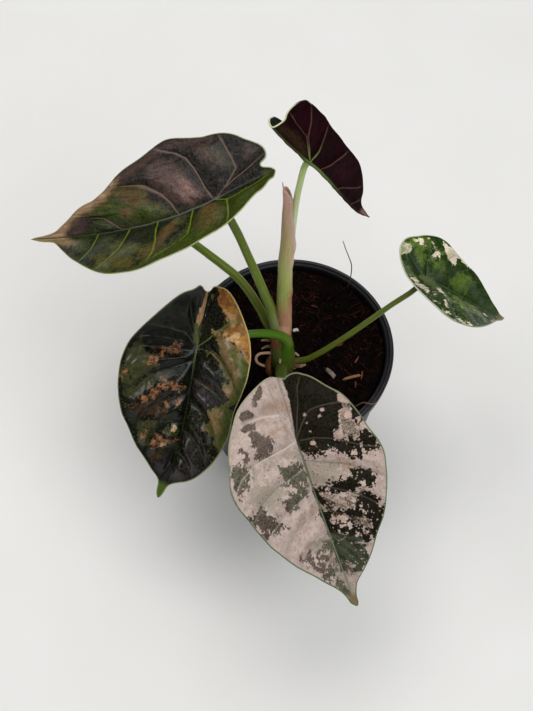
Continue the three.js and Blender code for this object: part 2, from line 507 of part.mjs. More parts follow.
const looseCut = Object.values(LOOSE).map(([m, h, t]) => lump(m, h, t, GAP));
const footCut = [tube(ROOT_LOOP, 8, 20, fat), tube(DRY_SHEATH_LEFT, 8, 8, fat, 0.8), ...Object.values(NUBS).map((r) => tube(r, 8, 5, fat)), tube(DRY_SHEATH_RIGHT, 8, 8, fat, 0.7),
  ...Object.values(FIBRES).map((r) => tube(r, 6, 12, fat)), petioleTube('d', fat), petioleTube('c', fat)];
put('substrate', cut(soilLevel, stemFat, ...looseCut, ...footCut), MATERIALS.soil);
put('stem', stem, MATERIALS.stem);
put('petiole_a', petioleA, MATERIALS.petiolePale);
put('petiole_b', petioleB, MATERIALS.petiole);
put('petiole_c', petioleC, MATERIALS.petiole);
put('petiole_d', petioleD, MATERIALS.petiole);
put('petiole_e', petioleE, MATERIALS.petioleWhite);
put('petiole_f', petioleF, MATERIALS.petiole);
put('sheath', sheath, MATERIALS.sheath);

const look = { a: 'bladeDark', b: 'bladeDark', c: 'bladePink', d: 'bladeGreen', e: 'bladeUnder', f: 'bladeDark' };
for (const k of Object.keys(BLADES)) put(`blade_${k}`, bladeSolid(BLADES[k], BLADE_THICKNESS), MATERIALS[look[k]]);

const core = [stemFat, petioleTube('b', fat), petioleTube('c', fat), petioleTube('d', fat), petioleTube('a', fat), petioleTube('f', fat)];
const nubFat = Object.values(NUBS).map((r) => tube(r, 8, 5, fat));
put('root_loop', cut(tube(ROOT_LOOP, 8, 20), ...core), MATERIALS.root);
put('dry_sheath_left', cut(tube(DRY_SHEATH_LEFT, 8, 8, 0, 0.6), ...core, ...nubFat, tube(ROOT_LOOP, 8, 20, fat)), MATERIALS.dry);
put('dry_sheath_right', cut(tube(DRY_SHEATH_RIGHT, 8, 8, 0, 0.7), ...core, ...nubFat), MATERIALS.dry);
for (const [name, rows] of Object.entries(NUBS)) put(name, cut(tube(rows, 8, 5), ...core, tube(ROOT_LOOP, 8, 20, fat)), MATERIALS.root);
for (const [name, rows] of Object.entries(FIBRES)) put(name, tube(rows, 6, 12), MATERIALS.fibre);
for (const [name, [m, h, t]] of Object.entries(LOOSE)) put(name, lump(m, h, t), name === 'perlite_grain' ? MATERIALS.perlite : MATERIALS.bark);

export default root;
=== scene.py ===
"""A jewel alocasia in a round nursery pot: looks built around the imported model.

Lengths in the tables are millimetres in the frame of the model, +Z up.
"""

import math

import bmesh
import bpy
import numpy as np
from mathutils import Matrix, Vector


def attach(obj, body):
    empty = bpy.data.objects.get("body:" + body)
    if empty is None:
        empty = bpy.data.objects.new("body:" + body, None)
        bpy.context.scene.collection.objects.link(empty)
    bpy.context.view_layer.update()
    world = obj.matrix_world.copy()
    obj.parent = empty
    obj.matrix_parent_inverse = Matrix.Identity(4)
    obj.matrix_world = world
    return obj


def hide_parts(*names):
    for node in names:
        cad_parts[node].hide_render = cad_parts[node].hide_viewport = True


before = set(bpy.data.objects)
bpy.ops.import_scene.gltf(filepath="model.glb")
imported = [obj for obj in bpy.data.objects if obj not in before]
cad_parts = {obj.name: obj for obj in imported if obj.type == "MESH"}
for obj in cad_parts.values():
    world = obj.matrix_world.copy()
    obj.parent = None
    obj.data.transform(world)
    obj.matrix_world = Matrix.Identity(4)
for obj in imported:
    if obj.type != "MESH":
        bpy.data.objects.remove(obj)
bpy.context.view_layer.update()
MM = 0.001

# ---- pot, as in the frame ----
POT_HEIGHT = 88.0
POT_RIM_RADIUS = 50.0
POT_TOP_RADIUS = 47.4
POT_BASE_RADIUS = 40.0
POT_WALL = 1.4
POT_FLOOR = 2.0
RIM_DEPTH = 7.5
HOLE_RADIUS = 4.0
HOLE_COUNT = 6
HOLE_CIRCLE = 28.0
SOIL_TOP = 84.0
GAP = 0.3
CREASE = 2.0

STEM = [
    (-4.2, -9.4, 58, 3.2), (-4.2, -9.4, 66, 4.6), (-4.2, -9.3, 74, 5.2), (-4.2, -9.2, 81, 5.7), (-4.0, -8.6, 88, 5.8),
    (-4.1, -7.4, 95, 5.6), (-4.4, -5.6, 102, 5.1), (-4.5, -3.8, 108, 4.6), (-4.3, -2.6, 113, 4.0),
]
SHEATH = [
    (-3.6, -2.2, 109, 3.7), (-3.7, -0.6, 119, 3.6), (-3.7, 0.3, 128.5, 3.45), (-3.7, 1.3, 138, 3.4), (-3.6, 2.4, 148, 3.2),
    (-3.6, 3.6, 158, 3.15), (-2.9, 4.9, 168, 3.2), (-2.8, 6.3, 178, 2.95), (-3.2, 7.6, 187, 2.3), (-3.1, 8.8, 195, 2.1),
    (-3.7, 9.6, 200.5, 1.5), (-5.0, 10.4, 204, 0.7), (-5.4, 10.8, 205.6, 0.3),
]
ROOT_LOOP = [
    (-8.6, -8.0, 96.0, 0.75), (-10.4, -8.2, 96.3, 0.75), (-12.9, -8.3, 96.4, 0.75), (-15.3, -8.7, 96.0, 0.75),
    (-16.7, -9.9, 94.5, 0.75), (-16.2, -11.1, 92.5, 0.75), (-14.3, -11.5, 90.5, 0.75), (-11.9, -11.4, 88.5, 0.75),
    (-10.4, -11.2, 86.0, 0.7), (-9.8, -11.0, 80, 0.6),
]
NUBS = {
    "root_nub_a": [(-9.6, -4.2, 101.2, 1.0), (-11.6, -3.8, 101.0, 1.0), (-14.0, -3.3, 99.8, 0.6)],
    "root_nub_b": [(-9.4, -5.6, 98.2, 1.0), (-11.4, -5.4, 97.8, 1.0), (-13.8, -5.8, 96.2, 0.6)],
    "root_nub_c": [(-5.1, -10.2, 96.4, 1.1), (-5.3, -12.6, 97.4, 1.1), (-5.4, -13.8, 97.2, 0.7)],
    "root_nub_d": [(0.0, -6.3, 93.8, 0.9), (1.9, -6.4, 92.8, 0.9), (3.6, -6.8, 91.0, 0.6)],
    "root_nub_e": [(-0.6, -10.6, 90.6, 0.9), (0.5, -11.1, 88.8, 0.9), (1.9, -11.4, 86.2, 0.6)],
}
DRY_SHEATH_LEFT = [
    (-9.8, -9.4, 95.4, 0.9), (-10.7, -11.0, 92.4, 1.4), (-10.7, -12.8, 89.4, 1.6), (-10.0, -14.8, 87.4, 1.4),
    (-9.2, -16.0, 86.6, 0.8),
]
DRY_SHEATH_RIGHT = [
    (0.4, -10.6, 88.6, 0.9), (2.4, -10.8, 87.9, 1.1), (4.8, -10.6, 87.6, 1.0), (7.0, -10.0, 87.6, 0.5),
]
FIBRES = {
    "coir_fibre_a": [(29.0, 34.9, 84.2, 0.4), (29.6, 35.3, 88.8, 0.38), (30.3, 38.0, 93, 0.36), (30.2, 40.3, 97.4, 0.35),
                     (28.7, 41.4, 102.4, 0.33), (26.9, 42.4, 107.8, 0.3), (25.1, 43.3, 114, 0.26)],
    "coir_fibre_b": [(30.4, -31.4, 86.2, 0.4), (31.9, -31.0, 87.6, 0.4), (33.9, -30.7, 89.0, 0.4), (36.4, -31.5, 89.6, 0.38),
                     (38.3, -31.7, 89.5, 0.36), (40.3, -30.5, 89.1, 0.3)],
}
LOOSE = {
    "bark_chip_pale": ((19.2, -14.1, 86.6), (3.2, 1.1, 0.9), -52),
    "bark_chip_tan": ((29.3, -15.9, 86.2), (4.3, 0.9, 0.8), 14),
    "perlite_grain": ((2.6, 9.2, 87.1), (1.6, 1.0, 0.9), 0),
}
SOIL_BUMPS = [(9, 11, 0.9, 0.3), (-7, 13, 0.7, 1.9), (15, -8, 0.5, 4.0), (19, 17, 0.35, 2.2)]


# Petiole centre lines, as in the frame: x, y, z and radius in millimetres.
PETIOLES = {
    "a": [
        (-5.82, -3.72, 103, 2.47), (-7.53, -2.79, 113, 2.55), (-9.66, -0.59, 125, 2.38), (-12.81, 0.75, 137, 2.18),
        (-16.07, 3.38, 148, 2.01), (-19.64, 6.18, 159, 1.89), (-23.3, 9.14, 170, 1.86), (-26.45, 10.95, 178.5, 1.83),
        (-29.59, 12.94, 185, 1.77), (-32.33, 14.09, 189, 1.72),
    ],
    "f": [
        (-8.62, -1.04, 100, 2.13), (-11.23, 1.59, 107, 2.16), (-15.19, 6.76, 114, 2.14), (-20.28, 12.7, 119.5, 2.09),
        (-25.8, 17.54, 124, 2.03), (-31.29, 20.79, 127.5, 1.98), (-37.69, 24.59, 130.5, 1.93), (-44.11, 28.7, 133, 1.88),
        (-51.53, 33.19, 134.5, 1.84), (-58.6, 37.04, 134.5, 1.8),
    ],
    "b": [
        (-3.83, -9.19, 92, 3.82), (-2.52, -8.53, 100, 3.06), (-1.93, -8.51, 107, 2.68), (-3.38, -8.02, 111, 2.31),
        (-6.41, -7.79, 113.5, 2.07), (-11.01, -8.36, 116, 1.97), (-16.48, -9.71, 118.5, 1.87), (-22.8, -11.57, 120.5, 1.81),
        (-30.39, -14.44, 122.5, 1.8), (-37.88, -18.04, 124, 1.75), (-42.29, -19.71, 124.3, 1.7),
    ],
    "c": [
        (-4.51, -9.27, 89, 3.12), (-4.61, -16.06, 94, 3.07), (-4.71, -23.51, 98.5, 2.8), (-4.38, -32.81, 104, 2.4),
        (-3.4, -42.87, 109.5, 2.2), (-1.76, -51.71, 114, 2.08), (0.29, -58.49, 117.5, 2.01), (1.49, -62.64, 119.5, 1.95),
    ],
    "d": [
        (0.1, -7.98, 87, 1.69), (3.89, -8.46, 89, 1.54), (7.64, -8.93, 91.5, 1.48), (14.56, -8.02, 97.5, 1.42),
        (24.05, -5.6, 106, 1.36), (35, -2.35, 116.5, 1.31), (45.14, 0.62, 127, 1.27), (53.38, 2.71, 135, 1.25),
        (58.82, 5.72, 139.5, 1.25),
    ],
    "e": [
        (-3.18, -0.79, 117, 1.73), (-2.65, 2.1, 128.5, 1.65), (-2.18, 4.77, 141.5, 1.59), (-1.73, 7, 154.5, 1.54),
        (-1.12, 8.45, 168, 1.48), (-0.4, 9.51, 183.5, 1.42), (0.51, 9.88, 197, 1.36), (1.62, 10.01, 207.5, 1.31),
        (2.73, 9.89, 216, 1.29), (4.08, 9.35, 221.4, 1.37),
    ],
}

# Blades: midrib, turn, folds and the flattened margin, in millimetres.
BLADES = {
    "a": dict(
        bez=[(-32.69, 13.88, 190), (-62.06, 4.7, 178.04), (-91.35, 14.57, 161.52), (-117.18, 23.16, 146)],
        roll=0, fold_l=37, fold_r=21, back=0, cup=-0.009,
        outline=[
            (97.15, 0), (93.81, 0.82), (89.47, 1.33), (85.17, 2.04), (81.48, 3.21), (78.37, 5.27), (75.28, 7.3),
            (71.62, 10.17), (68.03, 12.56), (63.94, 13.98), (59.89, 14.91), (56.42, 16.54), (52.97, 18.59), (49.5, 21.54),
            (46.03, 24.47), (41.94, 26.83), (37.21, 28.55), (31.76, 30.3), (25.43, 32.75), (20.12, 34.4), (15.38, 35.1),
            (10.14, 34.49), (4.59, 32.78), (-0.89, 30.67), (-4.9, 28.55), (-8.33, 27.6), (-11.67, 26.44), (-15.17, 24.49),
            (-18.35, 21.78), (-20.83, 18.58), (-23.75, 15.47), (-25.89, 12.83), (-26.92, 10.34), (-26.85, 7.99), (-25.85, 6.16),
            (-24.43, 5.49), (-23.09, 5.01), (-23.05, 3.85), (-24.46, 2.88), (-26.27, 1.77), (-27.43, -0.03), (-27.22, -2.79),
            (-25.86, -5.92), (-24.27, -6.16), (-22.48, -9.31), (-20.49, -12.11), (-18.16, -13.48), (-15.73, -16.12), (-13.78, -18.26),
            (-11.79, -20.73), (-9.4, -22.73), (-6.52, -25.07), (-3.24, -26.97), (0.65, -28.12), (3.74, -28.64), (7.18, -29.73),
            (10.59, -30.99), (14.01, -31.36), (17.46, -31.9), (20.97, -32.26), (23.75, -33.23), (26.58, -33.94), (30.29, -34.03),
            (34.33, -32.93), (38.57, -31.85), (43.18, -30.18), (47.42, -27.73), (52.31, -24.32), (57.89, -20.26), (64.16, -15.88),
            (69.99, -11.3), (76.54, -6.33), (80.83, -3.42), (84.34, -2.66), (88.97, -2.12), (93.25, -1.17),
        ],
    ),
    "b": dict(
        bez=[(-42.69, -20.08, 125), (-47.28, -42.29, 112.19), (-50.78, -60.01, 92.12), (-62.61, -71.89, 72)],
        roll=0, fold_l=31, fold_r=19, back=0, cup=-0.009,
        outline=[
            (77.83, 0), (76.47, 1.17), (73.69, 2.35), (70.72, 3), (67.85, 3.8), (65.64, 5.54), (62.74, 8.93),
            (59, 12.45), (55.57, 15.8), (52.16, 19.07), (46.88, 22.67), (42.08, 25.58), (37.49, 28.87), (32.68, 30.93),
            (27.87, 32.46), (23.09, 33.48), (16.93, 33.98), (11.36, 33.93), (6.71, 33.04), (2.52, 31.63), (-1.38, 29.25),
            (-5.51, 26.2), (-9.7, 22.71), (-13.89, 19.25), (-17.86, 15.77), (-20.81, 13.05), (-23.39, 9.81), (-24.81, 6.83),
            (-26, 5.19), (-27.37, 3.82), (-27.17, 2.4), (-25.62, 0.95), (-25.19, -0.64), (-26.08, -2.12), (-27.55, -2.94),
            (-28.21, -4.51), (-28.15, -7.38), (-27.66, -10.32), (-25.88, -13.53), (-22.82, -16.99), (-19.69, -19.88), (-15.72, -22.93),
            (-11.73, -25.7), (-7.66, -27.94), (-3.48, -29.38), (0.73, -30.3), (4.76, -30.44), (8.82, -30.31), (13.02, -29.39),
            (17.31, -28.23), (20.87, -26.89), (24.74, -26.19), (29.38, -26), (33.66, -25.77), (38.4, -24.31), (42.66, -22.77),
            (47.06, -20.74), (51.89, -17.72), (56.39, -14.59), (60.13, -11.14), (63.98, -6.38), (67.07, -3.2), (69.59, -1.79),
            (72.89, -1.53), (76.57, -0.9),
        ],
    ),
    "c": dict(
        bez=[(1.48, -62.85, 120), (10, -86.38, 107.58), (19.85, -105.07, 88.45), (28.54, -121.66, 68)],
        roll=0, fold_l=19, fold_r=22, back=0, cup=-0.008,
        outline=[
            (83.55, 0), (81.01, 1.92), (77.28, 2.86), (72.74, 4.65), (68.64, 7.16), (64.07, 10.56), (58.79, 14.11),
            (54.15, 17.79), (49.95, 20.98), (45.31, 23.9), (40.65, 26.71), (36.54, 29.16), (32.18, 30.92), (27.93, 32.69),
            (23.96, 34.04), (19.93, 35.84), (16.14, 37.22), (11.85, 37.89), (7.97, 37.5), (3.68, 35.99), (-1.16, 34.59),
            (-5.94, 32.9), (-9.79, 31.05), (-14.57, 27.88), (-18.96, 24.84), (-22.29, 21.16), (-24.96, 16.68), (-27.04, 12.36),
            (-28.72, 8.15), (-29.52, 4.73), (-29.33, 2.2), (-28.36, -0.01), (-27.7, -2.16), (-27.03, -2.87), (-27.8, -4.05),
            (-28.31, -6.07), (-28.14, -8.8), (-26.61, -11.55), (-25.43, -13.49), (-23.2, -16.03), (-20.1, -18.75), (-17.2, -21.56),
            (-14.17, -24.81), (-10.24, -27.29), (-6.57, -28.93), (-1.94, -30.72), (3.65, -32.24), (8.29, -34.09), (12.82, -35.5),
            (17.71, -35.8), (23.08, -34.68), (28.82, -33.19), (34.77, -30.88), (40.27, -28.49), (44.79, -25.96), (47.86, -23.45),
            (51.73, -20.21), (56.31, -17.24), (60.92, -14.06), (65.03, -10.59), (68.71, -7.05), (71.69, -4.45), (75.57, -2.77),
            (79.2, -1.88), (82, -1.75), (83.86, -0.67),
        ],
    ),
    "d": dict(
        bez=[(59.23, 6.2, 140), (74.79, 5.23, 132.02), (87.02, 1.02, 119.2), (100.1, 4.25, 108)],
        roll=0, fold_l=22, fold_r=33, back=0, cup=-0.012,
        outline=[
            (52.27, -0), (48.91, -1.17), (46.28, -3.32), (41.75, -5.55), (36.94, -8.52), (33.18, -10.72), (29.52, -12.89),
            (25.35, -14.76), (20.9, -15.87), (16.64, -17.54), (12.73, -19.09), (9.05, -21.31), (5.81, -22.42), (2.87, -22.62),
            (-0.36, -21.99), (-4.05, -20.92), (-7.64, -19.11), (-10.7, -17.77), (-13.63, -15.71), (-15.34, -12.84), (-15.96, -10.14),
            (-15.47, -7.37), (-14.45, -4.79), (-12.95, -2.38), (-11.16, 0.79), (-10.44, 6.08), (-9.16, 10.73), (-7, 14.33),
            (-4.22, 17.88), (-0.83, 21.38), (2.29, 24.54), (5.76, 26.63), (9.51, 27.36), (14.1, 26.72), (19.01, 24.96),
            (24.71, 21.1), (30.91, 15.78), (37.94, 9.49), (44.98, 4.03), (48.98, 2.53),
        ],
    ),
    "e": dict(
        bez=[(4.06, 9.13, 222), (15.09, 13.84, 203.89), (22.04, 14.45, 182.46), (32.71, 22.22, 165)],
        roll=62, fold_l=62, fold_r=62, back=0.008, cup=0,
        outline=[
            (65.78, 0), (59.18, 2.14), (53.08, 3.44), (49.64, 5.24), (47.91, 8.47), (44.9, 10.66), (40.64, 13.18),
            (36.09, 14.95), (32.14, 15.92), (26.97, 16.16), (21.45, 16.08), (16.28, 16.09), (11.99, 16.51), (7.38, 16.76),
            (3.02, 17.16), (0.19, 17.91), (-3.31, 18.66), (-7.89, 18.67), (-11.69, 18.86), (-15.78, 18.55), (-18.81, 18.14),
            (-20.19, 17.47), (-22.2, 15.88), (-23.93, 13.75), (-24.83, 11.66), (-25.24, 9.86), (-25.18, 8.36), (-24.47, 6.6),
            (-25.19, 4.75), (-25.98, 2.97), (-26.71, 1.48), (-27.2, -0.6), (-26.2, -5), (-22.5, -10.5), (-18, -14.5),
            (-13.5, -18), (-7, -20.3), (1, -20.6), (10, -20.2), (20, -18.8), (30, -16.6), (40, -13.4),
            (49, -9.2), (56, -4.6), (60.5, -1.6),
        ],
    ),
    "f": dict(
        bez=[(-59.03, 37.26, 135), (-72.17, 39.32, 130.41), (-86.11, 41.5, 121.86), (-98.86, 43.5, 112)],
        roll=0, fold_l=22, fold_r=22, back=0, cup=-0.012,
        outline=[
            (46.61, 0), (42, -2.5), (37, -6), (30, -10.3), (22, -14), (14, -16.6), (6, -17.9),
            (-2, -17.4), (-9, -15.2), (-13.5, -11.5), (-15, -7), (-13.5, -3), (-11, 0), (-13.5, 3),
            (-15, 7), (-13.5, 11.5), (-9, 15.5), (-2, 17.8), (6, 18.3), (14, 17), (22, 14.4),
            (30, 10.6), (37, 6.2), (42, 2.6),
        ],
    ),
}

# Side veins of each blade, from the midrib outwards: distance along the midrib, distance from it.
VEINS = {
    "a": {
        "+": [
            [(-0, 0), (-4.08, 2.32), (-10.96, 4.46), (-18.57, 6.18), (-24.85, 8.1)],
            [(-5.16, 2.72), (-12.97, 8.15), (-12.8, 14.53), (-11.59, 24.89)],
            [(0.88, 1.52), (2.22, 6.43), (2.66, 11.37), (3.68, 16.66), (5.92, 22.56), (10.49, 26.79), (19.38, 31.13)],
            [(17.6, 2.47), (19.42, 6.63), (22.37, 11.09), (25.97, 13.89), (31.31, 17.47), (39.42, 19.16), (48.39, 19.77)],
            [(46.59, 1.76), (50.59, 4.52), (54.19, 6.73), (60.25, 7.4), (68.23, 7.68)],
        ],
        "-": [
            [(0, 0), (-3, 3), (-5, 5), (-5.2, 12), (-5, 20), (-4, 26)],
            [(10.16, -0.03), (10.68, 7.07), (10.48, 14.18), (11.28, 19.98), (14.81, 23.25), (18.69, 25.54)],
            [(26.63, 0.35), (26.14, 6.69), (24.54, 15.35), (23.97, 22.96), (25.57, 30.25)],
            [(40.4, 0.32), (40.49, 8.33), (40.89, 14.78), (42.83, 19.76), (46.6, 24.7)],
            [(57.32, -1.37), (56.55, 4.26), (55.86, 11.66), (57.8, 18.25)],
        ],
        "free": [
            [(-4.5, -4.8), (-8, -4.9), (-11, -4.3), (-17, -3.4), (-21, -2.4), (-25, -1.2)],
        ],
    },
    "b": {
        "+": [
            [(0, 0), (-5.19, 1.44), (-12.35, 4.59), (-19.2, 6.74), (-24.16, 6.71)],
            [(0, 0), (-5.31, 6.09), (-6.29, 13.68), (-6.49, 23.07), (-4.4, 27.42)],
            [(2.28, 0.06), (2.14, 7.53), (2.72, 16.7), (3.34, 25.99), (7.57, 32.89)],
            [(5.88, -0.13), (8.16, 4.18), (11.16, 10.6), (13.33, 15.81), (17.44, 21.23), (22.02, 25.7), (25.99, 30.82)],
            [(21.15, 0.08), (23.46, 5.77), (27.4, 12.53), (33.58, 18.98), (44.33, 23.68)],
            [(36.11, 0.13), (35.61, 5.44), (38.55, 10.49), (43.96, 13.65), (50.95, 14.98)],
            [(48.77, -0.41), (48.95, 4.45), (51.55, 8.59), (56.67, 10.65)],
            [(57.2, 0.28), (60.18, 2.37), (64.1, 3.58)],
        ],
        "-": [
            [(0, -0), (-5.59, 1), (-13.62, 3.2), (-19.7, 4.7), (-25.6, 5.1)],
            [(0, -0), (-4.03, 5.36), (-7.78, 9.11), (-11.83, 14.97), (-14.54, 21.01)],
            [(0.44, 0.09), (0.88, 8.2), (4.84, 15.36), (10.4, 21.65), (16.86, 26.47)],
            [(14.21, -0.34), (15.33, 6.79), (17.49, 14.26), (21.04, 20.79), (25.66, 24.18)],
            [(25.45, -0.27), (26.35, 6.37), (29.18, 11.83), (34.08, 16.08), (39.24, 20.52)],
            [(39.08, 0.02), (40.31, 5.8), (43.15, 11.59), (47.99, 16.87)],
            [(50.4, 0.33), (51.72, 5.15), (54.16, 9.26), (57.08, 12.36)],
        ],
    },
    "c": {
        "+": [
            [(0, 0), (-5.08, 1.75), (-11.12, 3.7), (-17.27, 4.57), (-24.22, 5.13), (-28.44, 5.65)],
            [(0, 0), (-6.45, 1.76), (-12.57, 4.74), (-14, 13.03), (-13.84, 21.2), (-12.29, 27.71)],
            [(0.41, 0.14), (1.81, 6.96), (2.59, 14.04), (3.26, 19.93), (4.58, 25), (7.17, 31.03), (12.06, 36)],
            [(12.8, 0.1), (14.26, 8.19), (16.01, 16.34), (19.04, 24.35), (23.84, 30.96)],
            [(22.77, -0.24), (24.78, 7.09), (26.99, 15.63), (31.17, 24.8), (33.48, 28.9)],
            [(33.22, 0.1), (34.02, 6.53), (36.46, 14.21), (41, 20.47), (44.13, 22.87)],
            [(46.1, 0.3), (46.93, 6.3), (48.36, 13.7), (50.89, 19.19)],
            [(60.84, -0.01), (62.01, 4.45), (64.08, 8.82)],
        ],
        "-": [
            [(-0.82, 0.28), (-8.24, 2.75), (-15.53, 5.6), (-21.43, 7.07), (-25.98, 9.95)],
            [(-0.41, 0.14), (-5.94, 4.32), (-10.82, 9.16), (-11.19, 15.33), (-10.33, 22.57), (-7.92, 27.47)],
            [(0.55, 0.3), (1.17, 7.55), (3.47, 14.24), (6.74, 20.2), (10.82, 26.93), (14.37, 34.48)],
            [(9.06, -0.24), (12.18, 6.69), (15.29, 14.97), (19.82, 22.91), (25.88, 30.51)],
            [(20.77, -0.02), (24.12, 7.3), (28.33, 14.3), (33.58, 21.06), (39.61, 26.75)],
            [(31.77, -0.07), (35.83, 6.12), (40.74, 11.96), (47.6, 17.26), (53.4, 19.17)],
            [(44.16, -0.09), (48.87, 4.54), (54.41, 8.82), (61.05, 11.39)],
            [(59.71, -0.11), (63.44, 2.57), (68.5, 4.75)],
        ],
    },
    "d": {
        "+": [
            [(-0.5, 0.2), (-5, 0.9), (-9, 1.8), (-12, 3)],
            [(0.42, 1.17), (-2.86, 7), (-6.66, 13)],
            [(3.66, 1.39), (1.05, 9.87), (-0.51, 17.61)],
            [(11.22, 1.04), (9.85, 10.18), (9.84, 20.15), (11.02, 25.13)],
            [(20.73, -0.2), (21.54, 6.6), (22.69, 14.44), (23.74, 20.34)],
            [(31.71, -0.24), (33.85, 3.53), (34.75, 9.16), (36.93, 10.09)],
        ],
        "-": [
            [(-0, -0), (-4.72, 3.52), (-8.59, 7.15), (-12.98, 11.13)],
            [(0.51, 0.72), (-0.54, 6.78), (-0.02, 13.43), (1.18, 20.2)],
            [(4.36, 0.01), (7.27, 7.26), (9.24, 13.29), (12.32, 18.05)],
            [(12.5, 0.33), (13.96, 6.17), (16.36, 10.67), (21.3, 14.16), (24.59, 14.94)],
            [(22.53, 1.37), (24.91, 6.61), (28.57, 10.88), (32.35, 10.91)],
            [(33.1, 0.86), (36.36, 5.24), (40.03, 6.02)],
        ],
    },
    "e": {
        "+": [
            [(0.32, 0.55), (-4.23, 3.86), (-9.14, 7.77), (-13.31, 8.3), (-18.53, 8.72), (-22.58, 9.57)],
            [(0.32, 0.55), (-4.84, 5.39), (-8.59, 8.45), (-10.67, 13), (-15.2, 18.42)],
            [(1.09, 2.4), (2.47, 6.25), (1.73, 10.65), (1.1, 14.99), (1.19, 17.13)],
            [(9.73, 1.49), (13.65, 5.66), (16.59, 9.9), (20.05, 14.66)],
            [(26.76, 0.07), (30.02, 2.82), (37.27, 6.21), (44.5, 10.03)],
            [(43, 0.1), (45.5, 3), (48.4, 5.3)],
        ],
    },
}

